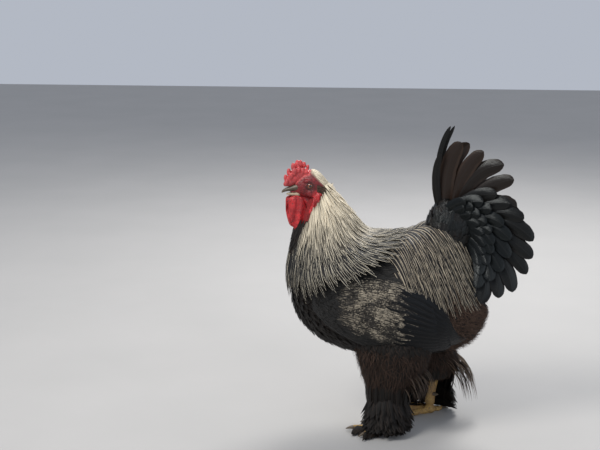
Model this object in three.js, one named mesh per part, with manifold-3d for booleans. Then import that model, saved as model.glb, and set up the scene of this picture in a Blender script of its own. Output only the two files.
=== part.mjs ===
// A life-size still model of a brahma cock, standing with its left foot ahead of its right.
// Millimetres. +X towards the tail, +Y to the bird's right, +Z up. The origin is under the middle of the bird.
// Every form of flesh is a loft through rings, and every feather is a thin vane that follows such a form.
import * as THREE from "three";
import { mergeVertices } from "three/addons/utils/BufferGeometryUtils.js";
import Module from "manifold-3d";

const wasm = await Module();
wasm.setup();

// Driving sizes of the standing bird
const GAP = 0.5; // free space that touching pieces keep
const HEAD_AT = new THREE.Vector3(-226, 0, 583); // middle of the skull, between the eyes
const HEAD_YAW = 9; // degrees that the head turns to the bird's left
const HALF_STANCE = 64; // sideways distance of each foot from the middle
const LEFT_FOOT_X = -42;
const RIGHT_FOOT_X = 64;
const LEFT = -1; // sign of Y on the bird's left
const RIGHT = 1;
const SIDES = [
  ["left", LEFT, LEFT_FOOT_X],
  ["right", RIGHT, RIGHT_FOOT_X],
];
const VANE_THICK = 1.1;
const FINEST = 0.42; // steps of a surface smaller than this are smoothed away
const SOLE = 0.1; // height of the flat that each foot is cut to

const COLOURS = {
  skin: ["#b3202a", 0.55],
  horn: ["#4a4136", 0.45],
  eye: ["#a5501c", 0.15],
  hackle: ["#b9b19c", 0.7],
  body: ["#17140f", 0.75],
  wing: ["#3b3731", 0.65],
  tail: ["#0f1815", 0.4],
  shank: ["#b98a3c", 0.6],
};

// Small mathematics
const rad = (degrees) => (degrees * Math.PI) / 180;
const mix = (a, b, s) => a + (b - a) * s;
const clamp01 = (s) => Math.min(1, Math.max(0, s));
const v3 = (x, y, z) => new THREE.Vector3(x, y, z);

// The same draw each run, from -1 to 1
function drawer(seed) {
  let state = seed;
  return () => {
    state = (state * 16807) % 2147483647;
    return (state / 2147483647) * 2 - 1;
  };
}

// A smooth value between those of a list, at s from 0 to 1
function smooth(list, s) {
  const at = clamp01(s) * (list.length - 1);
  const i = Math.min(Math.floor(at), list.length - 2);
  const f = at - i;
  const pick = (k) => list[Math.min(Math.max(k, 0), list.length - 1)];
  const [a, b, c, d] = [pick(i - 1), pick(i), pick(i + 1), pick(i + 2)];
  const slope = (c - a) / 2;
  const nextSlope = (d - b) / 2;
  const f2 = f * f;
  const f3 = f2 * f;
  return (2 * f3 - 3 * f2 + 1) * b + (f3 - 2 * f2 + f) * slope
    + (3 * f2 - 2 * f3) * c + (f3 - f2) * nextSlope;
}

// A closed solid from a geometry whose shared vertices are merged here
function solidFrom(geometry) {
  const bare = new THREE.BufferGeometry();
  bare.setAttribute("position", geometry.getAttribute("position"));
  if (geometry.index) bare.setIndex(geometry.index);
  const merged = mergeVertices(bare, 1e-4);
  return new wasm.Manifold(new wasm.Mesh({
    numProp: 3,
    vertProperties: merged.attributes.position.array,
    triVerts: new Uint32Array(merged.index.array),
  }));
}

function geometryFrom(solid) {
  const mesh = solid.getMesh();
  const geometry = new THREE.BufferGeometry();
  geometry.setAttribute("position", new THREE.BufferAttribute(mesh.vertProperties.slice(), 3));
  geometry.setIndex(new THREE.BufferAttribute(mesh.triVerts.slice(), 1));
  return geometry;
}

const union = (solids) => wasm.Manifold.union(solids);
const cutBy = (solid, cutters) => (cutters.length ? solid.subtract(union(cutters)) : solid);

// The one body that a node keeps after its union and cuts, without the slivers that these leave
function largest(solid) {
  const bodies = solid.asOriginal().simplify(FINEST).decompose();
  return bodies.reduce((a, b) => (b.volume() > a.volume() ? b : a));
}

// A body form: rings strung between two lines of the side view, such as back and belly, or throat and nape.
// A station is [x and z on the first line, x and z on the second, half width, sideways centre].
class Form {
  constructor(stations, { square = 2, side = 0, shape = null } = {}) {
    this.rows = [0, 1, 2, 3, 4, 5].map((k) => stations.map((station) => station[k] ?? 0));
    this.square = square;
    this.side = side;
    this.shape = shape;
  }

  // A point of the surface: s runs along the form, and angle (degrees) from the first line round the left side.
  point(s, angle) {
    const [ax, az, bx, bz, half, centre] = this.rows.map((row) => smooth(row, s));
    const power = 2 / this.square;
    const c = Math.cos(rad(angle));
    const w = Math.sin(rad(angle));
    const along = Math.sign(c) * Math.abs(c) ** power;
    const across = Math.sign(w) * Math.abs(w) ** power;
    const p = v3(
      mix(ax, bx, (1 - along) / 2),
      centre * this.side - half * across,
      mix(az, bz, (1 - along) / 2),
    );
    return this.shape ? this.shape(p, s, angle) : p;
  }

  normal(s, angle) {
    const ds = 0.004;
    const a = clamp01(s - ds);
    const b = clamp01(s + ds);
    const forward = this.point(b, angle).sub(this.point(a, angle));
    const round = this.point(s, angle + 1).sub(this.point(s, angle - 1));
    const outward = this.point(s, angle).sub(this.point(s, angle + 180));
    const normal = round.cross(forward).normalize();
    return normal.dot(outward) < 0 ? normal.negate() : normal;
  }

  lifted(s, angle, lift) {
    return this.point(s, angle).addScaledVector(this.normal(s, angle), lift);
  }

  // Where along the form its middle reaches x
  atX(x) {
    let low = 0;
    let high = 1;
    for (let i = 0; i < 30; i++) {
      const s = (low + high) / 2;
      const reached = (smooth(this.rows[0], s) + smooth(this.rows[2], s)) / 2;
      if (reached < x) low = s;
      else high = s;
    }
    return low;
  }

  solid(steps, sides, grow = 0) {
    const points = [this.point(0, 0)];
    for (let i = 1; i < steps; i++) {
      for (let j = 0; j < sides; j++) points.push(this.point(i / steps, (360 * j) / sides));
    }
    points.push(this.point(1, 0));
    const last = points.length - 1;
    const at = (i, j) => 1 + (i - 1) * sides + (j % sides);
    const faces = [];
    for (let j = 0; j < sides; j++) {
      faces.push(0, at(1, j + 1), at(1, j));
      faces.push(last, at(steps - 1, j), at(steps - 1, j + 1));
      for (let i = 1; i < steps - 1; i++) {
        faces.push(at(i, j), at(i, j + 1), at(i + 1, j + 1));
        faces.push(at(i, j), at(i + 1, j + 1), at(i + 1, j));
      }
    }
    return closed(points, faces, grow);
  }
}

// A solid from points and triangles, turned to face out, and grown along its normals if asked
function closed(points, faces, grow = 0) {
  const geometry = new THREE.BufferGeometry().setFromPoints(points);
  geometry.setIndex(faces);
  let volume = 0;
  for (let i = 0; i < faces.length; i += 3) {
    const [a, b, c] = [points[faces[i]], points[faces[i + 1]], points[faces[i + 2]]];
    volume += a.dot(b.clone().cross(c));
  }
  if (volume < 0) geometry.setIndex(faces.slice().reverse());
  if (grow) {
    geometry.computeVertexNormals();
    const normals = geometry.getAttribute("normal");
    const position = geometry.getAttribute("position");
    for (let i = 0; i < points.length; i++) {
      const p = points[i].clone().addScaledVector(v3().fromBufferAttribute(normals, i), grow);
      position.setXYZ(i, p.x, p.y, p.z);
    }
  }
  return solidFrom(geometry);
}

// A ball or bead, stretched along its own axes
function bead(centre, radii, { across = 8, down = 6, turn = null } = {}) {
  const geometry = new THREE.SphereGeometry(1, across, down);
  geometry.scale(...radii);
  if (turn) geometry.applyMatrix4(turn);
  geometry.translate(centre.x, centre.y, centre.z);
  return solidFrom(geometry);
}

// How wide a feather is at places along its length, as a share of its widest
const WIDTHS = {
  hackle: [[0, 0.5], [0.34, 1], [0.68, 0.85], [1, 0.1]],
  saddle: [[0, 0.5], [0.25, 0.9], [0.5, 1], [0.78, 0.78], [1, 0.1]],
  broad: [[0, 0.4], [0.34, 0.9], [0.66, 1], [0.9, 0.84], [1, 0.34]],
  sickle: [[0, 0.6], [0.3, 0.95], [0.55, 1], [0.8, 0.75], [1, 0.1]],
  covert: [[0, 0.5], [0.35, 1], [0.8, 0.92], [1, 0.36]],
};

// A feather: a thin plate along a path. path(s) gives its point and its outward normal at s from 0 to 1.
function vane(path, { half, kind = "hackle", tilt = 0, grow = 0 }) {
  const widths = WIDTHS[kind];
  const rings = widths.length;
  const t = VANE_THICK / 2 + grow;
  const section = [[-1, t], [1, t], [1, -t], [-1, -t]];
  const corners = section.length;
  const points = [];
  for (const [s, width] of widths) {
    const here = path(s);
    const step = 0.02;
    const tangent = path(Math.min(1, s + step)).point.clone().sub(path(Math.max(0, s - step)).point).normalize();
    const flat = here.normal.clone().addScaledVector(tangent, -here.normal.dot(tangent)).normalize();
    const across = tangent.clone().cross(flat).applyAxisAngle(tangent, rad(tilt));
    const up = across.clone().cross(tangent).normalize();
    const reach = half * width + grow;
    for (const [u, w] of section) {
      points.push(here.point.clone().addScaledVector(across, u * reach).addScaledVector(up, w));
    }
  }
  const faces = [];
  for (let i = 0; i < rings - 1; i++) {
    for (let j = 0; j < corners; j++) {
      const k = (j + 1) % corners;
      const [a, b, c, d] = [i * corners + j, i * corners + k, (i + 1) * corners + k, (i + 1) * corners + j];
      // The lower face is split the same way as the upper one, so that a bent plate never crosses itself.
      if (section[k][0] < section[j][0]) faces.push(a, b, d, b, c, d);
      else faces.push(a, b, c, a, c, d);
    }
  }
  for (let j = 1; j < corners - 1; j++) {
    const end = (rings - 1) * corners;
    faces.push(0, j + 1, j);
    faces.push(end, end + j, end + j + 1);
  }
  return closed(points, faces);
}

// A path over a form, between two places given as [s, angle], rising off the surface from root to tip.
// bow makes the angle lag behind, so that the feather first runs along the form and then turns down.
function overForm(form, from, to, { sink = 7, rise = 10, bow = 1 } = {}) {
  const rootShare = 0.22;
  return (f) => {
    const s = mix(from[0], to[0], bow > 1 ? 1 - (1 - f) ** 1.25 : f);
    const angle = mix(from[1], to[1], f ** bow);
    const low = rise * 0.4;
    const lift = f < rootShare ? mix(-sink, low, f / rootShare) : mix(low, rise, (f - rootShare) / (1 - rootShare));
    return { point: form.lifted(s, angle, lift), normal: form.normal(s, angle) };
  };
}

// The torso, from the breast to the fluff under the tail: back line, belly line, half width
const TORSO = new Form([
  [-273, 352, -273, 348, 1],
  [-269, 392, -266, 300, 40],
  [-252, 426, -247, 258, 72],
  [-214, 448, -210, 222, 96],
  [-165, 452, -165, 199, 112],
  [-110, 450, -110, 186, 121],
  [-50, 456, -50, 180, 124],
  [10, 474, 10, 180, 121],
  [60, 494, 65, 186, 110],
  [100, 488, 112, 196, 92],
  [135, 440, 150, 216, 70],
  [160, 376, 175, 246, 44],
  [178, 318, 187, 280, 22],
  [184, 300, 184, 296, 1],
], { square: 2.15 });
const TORSO_STEPS = 18;
const TORSO_SIDES = 18;

// The neck inside its hackles, and the cape that the hackles lie on: throat line, nape line, half width
const NECK = new Form([
  [-208, 583, -204, 585, 1],
  [-226, 566, -184, 593, 20],
  [-237, 545, -161, 572, 31],
  [-252, 502, -133, 522, 47],
  [-264, 452, -107, 480, 68],
  [-262, 412, -86, 458, 88],
  [-232, 384, -84, 436, 90],
  [-150, 400, -146, 402, 1],
]);
const CAPE = new Form([
  [-231, 568, -181, 599, 25],
  [-243, 542, -156, 575, 37],
  [-259, 503, -127, 528, 53],
  [-272, 452, -99, 486, 75],
  [-279, 400, -72, 470, 103],
  [-278, 348, -48, 468, 128],
  [-264, 300, -28, 470, 138],
]);
const HACKLE_TIERS = [
  { from: 0.08, to: 0.42, count: 8, half: 13, rise: 17 },
  { from: 0.22, to: 0.6, count: 10, half: 16, rise: 14 },
  { from: 0.36, to: 0.78, count: 12, half: 20, rise: 11 },
  { from: 0.5, to: 0.96, count: 16, half: 22, rise: 8 },
];

function hackles(grow = 0) {
  const draw = drawer(11);
  return HACKLE_TIERS.flatMap(({ from, to, count, half, rise }, tier) => (
    Array.from({ length: count }, (_, i) => {
      const angle = (360 * (i + (tier % 2) / 2)) / count;
      const reach = to + 0.02 * draw();
      const path = overForm(CAPE, [from, angle], [reach, angle + 2 * draw()], { sink: 11, rise });
      return vane(path, { half, tilt: -7, grow });
    })
  ));
}

// The saddle hackles, from the ridge of the back down over the flanks: x along the back, angles round the torso
const SADDLE_TIERS = [
  { count: 7, x: [-44, 96], angle: [44, 99], run: 60, half: 14, rise: 8 },
  { count: 6, x: [-42, 82], angle: [25, 77], run: 68, half: 14, rise: 12 },
  { count: 5, x: [-40, 62], angle: [7, 52], run: 76, half: 14, rise: 16 },
];

function saddleHackles(grow = 0) {
  const draw = drawer(23);
  return SIDES.flatMap(([, side]) => SADDLE_TIERS.flatMap(({ count, x, angle, run, half, rise }) => (
    Array.from({ length: count }, (_, i) => {
      const start = mix(x[0], x[1], i / (count - 1));
      const end = start + run + 5 * draw();
      const path = overForm(
        TORSO,
        [TORSO.atX(start), -side * angle[0]],
        [TORSO.atX(end), -side * (angle[1] + 3 * draw())],
        { sink: 9, rise, bow: 1.35 },
      );
      return vane(path, { half, kind: "saddle", tilt: -side * 7, grow });
    })
  )));
}

// A folded wing on the torso: x along the torso, and the angles of its upper and lower edge
const WING_EDGE = [
  [-214, 86, 98],
  [-190, 76, 108],
  [-150, 67, 118],
  [-95, 61, 127],
  [-35, 64, 134],
  [30, 78, 139],
  [85, 100, 142],
  [122, 124, 140],
];
const WING_DEPTH = [2, 6, 10, 13, 14, 12, 9, 4];

// A place of the wing: u from shoulder to tip, v from its upper to its lower edge. Either may run a little beyond.
function wingPlace(u, v) {
  const [x, top, bottom] = [0, 1, 2].map((k) => smooth(WING_EDGE.map((row) => row[k]), u));
  return [TORSO.atX(x + 340 * (u - clamp01(u))), mix(top, bottom, v)];
}

// The same place on the wing's outer face
function onWing(side, u, v, lift) {
  const [s, angle] = wingPlace(u, v);
  const depth = smooth(WING_DEPTH, u) * Math.sin(Math.PI * clamp01(mix(0.06, 0.94, v))) ** 0.55;
  return { point: TORSO.lifted(s, -side * angle, depth + lift), normal: TORSO.normal(s, -side * angle) };
}

// The wing without its feathers, or the room that it needs when it reaches outward
function wingCore(side, outward = 0) {
  const columns = 10;
  const rows = 4;
  const sunk = -4;
  const points = [];
  const spread = outward ? 0.22 : 0;
  for (let face = 0; face < 2; face++) {
    for (let i = 0; i <= columns; i++) {
      for (let j = 0; j <= rows; j++) {
        const u = mix(-spread / 4, 1 + spread / 4, i / columns);
        const v = mix(-spread, 1 + spread, j / rows);
        const [s, angle] = wingPlace(u, v);
        points.push(face ? onWing(side, u, v, outward).point : TORSO.lifted(s, -side * angle, sunk));
      }
    }
  }
  const at = (face, i, j) => face * (columns + 1) * (rows + 1) + i * (rows + 1) + j;
  const faces = [];
  const quad = (a, b, c, d) => faces.push(a, b, c, a, c, d);
  for (let i = 0; i < columns; i++) {
    for (let j = 0; j < rows; j++) {
      quad(at(1, i, j), at(1, i + 1, j), at(1, i + 1, j + 1), at(1, i, j + 1));
      quad(at(0, i, j), at(0, i, j + 1), at(0, i + 1, j + 1), at(0, i + 1, j));
    }
    quad(at(0, i, 0), at(0, i + 1, 0), at(1, i + 1, 0), at(1, i, 0));
    quad(at(0, i, rows), at(1, i, rows), at(1, i + 1, rows), at(0, i + 1, rows));
  }
  for (let j = 0; j < rows; j++) {
    quad(at(0, 0, j), at(1, 0, j), at(1, 0, j + 1), at(0, 0, j + 1));
    quad(at(0, columns, j), at(0, columns, j + 1), at(1, columns, j + 1), at(1, columns, j));
  }
  return closed(points, faces);
}

const WING_TIERS = [
  { count: 6, root: [0.34, 0.38], tip: [0.72, 1.05], v: [0.1, 0.86], vTip: [0.06, 0.76], half: 11.5, rise: [2.5, 6] },
  { count: 5, root: [0.17, 0.2], tip: [0.53, 0.62], v: [0.1, 0.9], vTip: [0.08, 0.9], half: 14.5, rise: [4, 9] },
  { count: 4, root: [0.05, 0.06], tip: [0.31, 0.38], v: [0.14, 0.86], vTip: [0.1, 0.9], half: 14, rise: [4, 10.5] },
];

function wingFeathers(side) {
  return WING_TIERS.flatMap(({ count, root, tip, v, vTip, half, rise }) => (
    Array.from({ length: count }, (_, i) => {
      const share = i / (count - 1);
      const path = (f) => onWing(
        side,
        mix(mix(root[0], root[1], share), mix(tip[0], tip[1], share), f),
        mix(mix(v[0], v[1], share), mix(vTip[0], vTip[1], share), f),
        f < 0.2 ? mix(-6, rise[0], f / 0.2) : mix(rise[0], rise[1], (f - 0.2) / 0.8),
      );
      return vane(path, { half, kind: "covert", tilt: side * 6 });
    })
  ));
}

// The tail: a stub on the rump, and feathers that fan from it about one centre in the side view
const RUMP = new Form([
  [70, 440, 92, 440, 1],
  [46, 486, 136, 436, 52],
  [54, 516, 156, 468, 50],
  [66, 538, 156, 504, 36],
  [84, 552, 146, 530, 18],
  [114, 546, 116, 544, 1],
]);
const FAN_CENTRE = v3(95, 0, 472);

// Each half of the fan is a leaf that leaves the middle plane more and more towards its lower edge.
// angle is above level, reach is the distance from the fan's centre.
function fanPoint(side, angle, reach) {
  const splay = mix(66, 7, clamp01((angle + 52) / 140));
  return v3(
    FAN_CENTRE.x + reach * Math.cos(rad(angle)),
    side * (4 + (splay * reach) / 190),
    FAN_CENTRE.z + reach * Math.sin(rad(angle)),
  );
}

function onFan(side, angle, reach, lift) {
  const outwards = fanPoint(side, angle, reach + 1).sub(fanPoint(side, angle, reach - 1));
  const round = fanPoint(side, angle + 1, reach).sub(fanPoint(side, angle - 1, reach));
  const normal = outwards.cross(round).normalize();
  if (normal.y * side < 0) normal.negate();
  return { point: fanPoint(side, angle, reach).addScaledVector(normal, lift), normal };
}

// Feathers of the tail: the angle and the reach of each tip, from the front of the fan to its lower edge.
// bend is how much more upright a feather starts, and lift how far its root and its tip stand off the leaf.
const TAIL_TIERS = [
  { kind: "sickle", half: 12, bend: 46, lift: [0, 7], tips: [[88.5, 260]] },
  { kind: "broad", half: 21, bend: 22, lift: [1, 2], tips: [[85, 228], [70, 216], [57, 209], [45, 199], [30, 170]] },
  {
    kind: "broad",
    half: 19,
    bend: 30,
    lift: [6, 13],
    tips: [[45, 150], [27, 160], [11, 178], [0, 194], [-16, 196], [-30, 196], [-42, 191], [-52, 179]],
  },
  {
    kind: "broad",
    half: 18,
    bend: 34,
    lift: [12, 26],
    tips: [[34, 120], [15, 128], [-3, 142], [-20, 146], [-36, 144]],
  },
];

function tailFeathers() {
  const draw = drawer(37);
  return SIDES.flatMap(([, side]) => TAIL_TIERS.flatMap(({ kind, half, bend, lift, tips }) => (
    tips.map(([angle, reach]) => {
      const tipAngle = angle - (side === RIGHT ? 2 + draw() : 0);
      const tipReach = reach - (side === RIGHT ? 5 + 3 * draw() : 0);
      const path = (f) => onFan(
        side,
        tipAngle + bend * (1 - f) ** 1.1,
        mix(24, tipReach, f),
        mix(lift[0], lift[1], f),
      );
      return vane(path, { half, kind, tilt: side * 6 });
    })
  )));
}

// One leg: a fluffy thigh, a shank, a foot with four toes, and feathers down the outer side
function thighForm(side, foot) {
  const lean = (share, x) => mix(x, x + foot - LEFT_FOOT_X, share);
  return new Form([
    [-30, 300, -26, 300, 1, 58],
    [lean(0.3, -116), 250, lean(0.3, 58), 236, 56, 60],
    [lean(0.5, -112), 205, lean(0.5, 56), 190, 56, 62],
    [lean(0.8, -100), 162, lean(0.8, 42), 152, 49, 63],
    [lean(1, -88), 128, lean(1, 20), 122, 38, HALF_STANCE],
    [lean(1, -70), 104, lean(1, -4), 102, 24, HALF_STANCE],
    [lean(1, -38), 94, lean(1, -34), 94, 1, HALF_STANCE],
  ], { side });
}

function shankForm(side, foot) {
  return new Form([
    [foot + 12, 138, foot + 16, 138, 1, HALF_STANCE],
    [foot + 2, 118, foot + 26, 118, 11, HALF_STANCE],
    [foot - 1, 84, foot + 20, 84, 9, HALF_STANCE],
    [foot - 6, 48, foot + 14, 48, 9.5, HALF_STANCE],
    [foot - 10, 28, foot + 13, 27, 12, HALF_STANCE],
    [foot + 1, 8, foot + 3, 8, 1, HALF_STANCE],
  ], { side });
}

// Toes: direction from straight ahead (degrees, outwards is positive), length and thickness at the root
const TOES = [
  { name: "inner", turn: -34, length: 56, radius: 8.5 },
  { name: "middle", turn: 2, length: 76, radius: 9 },
  { name: "outer", turn: 38, length: 60, radius: 8.5 },
  { name: "hind", turn: 158, length: 34, radius: 7 },
];
const TOE_HEIGHT = 7; // height of a toe's axis, so that its pads are cut flat at the floor
const CLAW_LENGTH = 17;

function toeFrame(side, foot, turn) {
  const heading = rad(180) + side * rad(turn) * -1;
  const ahead = v3(Math.cos(heading), Math.sin(heading), 0);
  return { start: v3(foot, side * HALF_STANCE, TOE_HEIGHT), ahead };
}

// A tapered limb of round beads strung on a curve, such as a toe with its pads
function beadedLimb(centres, radii, sides = 7) {
  const rows = [];
  const ahead = centres.at(-1).clone().sub(centres[0]).normalize();
  const across = v3(0, 0, 1).cross(ahead).normalize();
  const up = ahead.clone().cross(across).normalize();
  const points = [centres[0].clone().addScaledVector(ahead, -radii[0])];
  centres.forEach((centre, i) => {
    rows.push(points.length);
    for (let j = 0; j < sides; j++) {
      const a = (2 * Math.PI * j) / sides;
      points.push(centre.clone().addScaledVector(across, radii[i] * Math.cos(a)).addScaledVector(up, radii[i] * Math.sin(a)));
    }
  });
  points.push(centres.at(-1).clone().addScaledVector(ahead, radii.at(-1) * 0.8));
  const faces = [];
  for (let j = 0; j < sides; j++) {
    const k = (j + 1) % sides;
    faces.push(0, rows[0] + k, rows[0] + j);
    faces.push(points.length - 1, rows.at(-1) + j, rows.at(-1) + k);
    for (let i = 0; i < rows.length - 1; i++) {
      faces.push(rows[i] + j, rows[i] + k, rows[i + 1] + k);
      faces.push(rows[i] + j, rows[i + 1] + k, rows[i + 1] + j);
    }
  }
  return closed(points, faces);
}

function toeSolid(side, foot, { turn, length, radius }) {
  const { start, ahead } = toeFrame(side, foot, turn);
  const swell = [1, 1.1, 0.84, 1, 0.76];
  const centres = swell.map((_, i) => start.clone().addScaledVector(ahead, (length * i) / (swell.length - 1)));
  return beadedLimb(centres, swell.map((k, i) => radius * k * mix(1, 0.82, i / (swell.length - 1))));
}

// A claw's own cone, curved down to a blunt tip just above the floor
function clawSolid(side, foot, { turn, length, radius }, grow = 0) {
  const { start, ahead } = toeFrame(side, foot, turn);
  const shares = [0, 0.4, 0.75, 1];
  const centres = shares.map((s) => start.clone()
    .addScaledVector(ahead, length + 1 + CLAW_LENGTH * s)
    .add(v3(0, 0, 1.5 + 1.5 * s - 6 * s * s)));
  const radii = [radius * 0.46, radius * 0.42, radius * 0.28, radius * 0.12];
  return beadedLimb(centres, radii.map((r) => r + grow), 5);
}

// The spur on the inner side of the shank
function spurSolid(side, foot, grow = 0) {
  const root = v3(foot + 10, side * (HALF_STANCE - 7), 52);
  const centres = [0, 0.5, 1].map((s) => root.clone().add(v3(10 * s, -side * 14 * s, 4 * s * s)));
  return beadedLimb(centres, [5, 3.6, 1.2].map((r) => r + grow), 6);
}

// Plates down the front of the shank, raised on it
function shankScutes(side, foot) {
  const shank = shankForm(side, foot);
  const count = 5;
  return Array.from({ length: count }, (_, i) => {
    const s = mix(0.34, 0.72, i / (count - 1));
    return bead(shank.lifted(s, 0, -2.2), [4.2, 8.2, 7], { across: 6, down: 3 });
  });
}

const BOOT_TIERS = [
  { height: 96, count: 3, reach: 46, drop: 44, half: 20 },
  { height: 70, count: 3, reach: 56, drop: 38, half: 23 },
  { height: 44, count: 4, reach: 60, drop: 20, half: 19 },
];

// Feathers of the boot: out and back from the shank's outer side, the lowest just clear of the floor
function bootFeathers(side, foot) {
  const draw = drawer(51);
  return BOOT_TIERS.flatMap(({ height, count, reach, drop, half }) => (
    Array.from({ length: count }, (_, i) => {
      const turn = rad(mix(-66, 84, i / (count - 1)) + 4 * draw());
      const out = v3(Math.sin(turn), side * Math.cos(turn), 0);
      const root = v3(foot + 5, side * HALF_STANCE, height);
      const length = reach + 5 * draw();
      const curve = new THREE.QuadraticBezierCurve3(
        root.clone(),
        root.clone().addScaledVector(out, length * 0.62).add(v3(0, 0, -drop * 0.12)),
        root.clone().addScaledVector(out, length).add(v3(0, 0, -drop)),
      );
      const path = (f) => ({ point: curve.getPoint(f), normal: v3(0.15, 0, 1).addScaledVector(out, 0.5).normalize() });
      return vane(path, { half, kind: "covert", tilt: side * 8 });
    })
  ));
}

// Feathers on the middle and outer toe
function toeFeathers(side, foot) {
  return [TOES[1], TOES[2]].flatMap((toe, row) => {
    const { start, ahead } = toeFrame(side, foot, toe.turn);
    return [0.4, 0.75].map((share) => {
      const root = start.clone().addScaledVector(ahead, toe.length * share);
      const out = ahead.clone().multiplyScalar(0.35).add(v3(0.1, side, 0)).normalize();
      const length = row ? 44 : 34;
      const lift = row ? 3 : 7;
      const curve = new THREE.QuadraticBezierCurve3(
        root.clone(),
        root.clone().addScaledVector(out, length * 0.5).add(v3(0, 0, lift + 2)),
        root.clone().addScaledVector(out, length).add(v3(0, 0, lift - 7)),
      );
      const path = (f) => ({ point: curve.getPoint(f), normal: v3(0, 0, 1) });
      return vane(path, { half: 12, kind: "covert", tilt: side * 6 });
    });
  });
}

// Long soft feathers behind the hock
function hockFeathers(side, foot) {
  const draw = drawer(71);
  const count = 5;
  const thigh = thighForm(side, foot);
  return Array.from({ length: count }, (_, i) => {
    const share = i / (count - 1);
    const angle = mix(125, 215, share);
    const from = thigh.lifted(0.52, angle, -8);
    const tip = from.clone().add(v3(44 + 6 * draw(), 10 * (share - 0.5), -62 - 6 * draw()));
    const bend = from.clone().add(v3(34, 4 * (share - 0.5), -10));
    const curve = new THREE.QuadraticBezierCurve3(from, bend, tip);
    const outward = thigh.normal(0.52, angle);
    const path = (f) => ({ point: curve.getPoint(f), normal: v3(0.7, 0, 0.5).add(outward).normalize() });
    return vane(path, { half: 12, kind: "saddle", tilt: side * 6 });
  });
}

// The head, in its own frame: the origin is the middle of the skull, and the bill points along -X
const SKULL = new Form([
  [-39, -6, -39, -8, 1],
  [-36, 6, -36, -17, 8.5],
  [-27, 18, -28, -25, 14],
  [-14, 28, -15, -31, 19],
  [2, 36, -1, -36, 22.5],
  [17, 31, 13, -39, 23.5],
  [31, 16, 27, -40, 21],
  [40, 3, 38, -24, 12],
  [42, -8, 42, -14, 1],
]);
const DEWLAP = new Form([
  [-24, -22, 6, -22, 1],
  [-28, -32, 16, -30, 8],
  [-24, -48, 22, -46, 9],
  [-20, -64, 24, -62, 8],
  [-10, -80, 12, -78, 4],
  [-2, -86, 4, -86, 1],
]);
const UPPER_BILL = new Form([
  [-69, -18.6, -68, -19.4, 0.6],
  [-67.5, -13.5, -65, -18, 2.2],
  [-61, -8.2, -58.5, -16, 5],
  [-51, -3.6, -48, -14.6, 8],
  [-41, 0.6, -38, -14, 10],
  [-32, 4.5, -28, -13.6, 11.5],
  [-24, -2, -24, -6, 1],
]);
const LOWER_BILL = new Form([
  [-58, -20.6, -58, -21.6, 1],
  [-55, -19.2, -55, -23.2, 3.4],
  [-47, -17.6, -47, -25.2, 6.2],
  [-38, -16.6, -38, -26.6, 8.6],
  [-29, -15.8, -28, -27.2, 10],
  [-22, -19, -22, -21, 1],
]);
const EYE_RADIUS = 8.2;
const EYE_AT = v3(-3, 15.8, 0);
const LID_RADIUS = 8;
const COMB_ROWS = [
  { y: 0, from: [-60, 12], to: [-6, 38], crown: 26, count: 6, size: [7.4, 5.8, 9.5] },
  { y: 8.5, from: [-56, 8], to: [-9, 32], crown: 18, count: 5, size: [6.8, 5.2, 8] },
  { y: -8.5, from: [-56, 8], to: [-9, 32], crown: 18, count: 5, size: [6.8, 5.2, 8] },
];
const COMB_BASE = new Form([
  [-65, 2, -64, -2, 2],
  [-63, 13, -60, -4, 8],
  [-50, 31, -44, -2, 11.5],
  [-33, 42, -30, 8, 12.5],
  [-17, 45, -15, 18, 11.5],
  [-3, 38, -4, 22, 7],
  [2, 32, 2, 28, 1],
]);

function wattleForm(side) {
  return new Form([
    [-42, -24, -34, -23, 1, 9],
    [-54, -32, -20, -29, 4.6, 10.5],
    [-53, -48, -16, -45, 4.4, 12],
    [-50, -67, -14, -64, 4.2, 13.5],
    [-46, -87, -13, -84, 4.8, 14],
    [-40, -103, -17, -101, 4.4, 14],
    [-29, -110, -26, -110, 1, 14],
  ], {
    side,
    shape: (p, s) => {
      const pleat = 1.9 * Math.sin((p.x + 30) * 0.36) * Math.sin(Math.PI * clamp01(s)) ** 0.8;
      const swing = side === RIGHT ? -9 * clamp01(2 * s) : 0; // the far one hangs a little further forward
      return p.add(v3(swing, pleat * side, -swing * 0.4));
    },
  });
}

function lobeForm(side) {
  return new Form([
    [16, -12, 20, -12, 1, 20],
    [7, -20, 29, -17, 4.4, 22],
    [2, -34, 27, -30, 4.6, 24],
    [-3, -48, 19, -45, 4.4, 25.5],
    [-7, -62, 9, -60, 3.8, 26.5],
    [-6, -72, -1, -72, 1, 27],
  ], {
    side,
    shape: (p, s) => p.add(v3(0, side * 1.4 * Math.sin(p.x * 0.42) * Math.sin(Math.PI * clamp01(s)), 0)),
  });
}

function combSolid(grow = 0) {
  const draw = drawer(5);
  const peas = COMB_ROWS.flatMap(({ y, from, to, crown, count, size }) => (
    Array.from({ length: count }, (_, i) => {
      const share = i / (count - 1);
      const arch = Math.sin(Math.PI * (0.12 + 0.8 * share));
      const centre = v3(
        mix(from[0], to[0], share) + draw(),
        y + 0.8 * draw(),
        mix(from[1], to[1], share) + crown * arch - 6 + 1.2 * draw(),
      );
      const scale = mix(0.72, 1.05, arch);
      return bead(centre, size.map((r) => r * scale + grow), { across: 6, down: 4 });
    })
  ));
  return union([COMB_BASE.solid(8, 8, grow), ...peas]);
}

const eyeBall = (side, grow = 0) => bead(
  v3(EYE_AT.x, side * EYE_AT.y, EYE_AT.z),
  [EYE_RADIUS + grow, EYE_RADIUS + grow, EYE_RADIUS + grow],
  { across: 10, down: 7, turn: new THREE.Matrix4().makeRotationX(rad(90)) },
);

// Upper and lower lid: a ring round the eye, flattened and drawn out to the corners
function lidRing(side) {
  const ring = new THREE.TorusGeometry(LID_RADIUS, 1.9, 5, 12);
  ring.scale(1.1, 0.86, 1);
  ring.rotateX(rad(90));
  ring.rotateZ(side * rad(6));
  ring.translate(EYE_AT.x, side * (EYE_AT.y + 3.6), EYE_AT.z);
  return solidFrom(ring);
}

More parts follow.
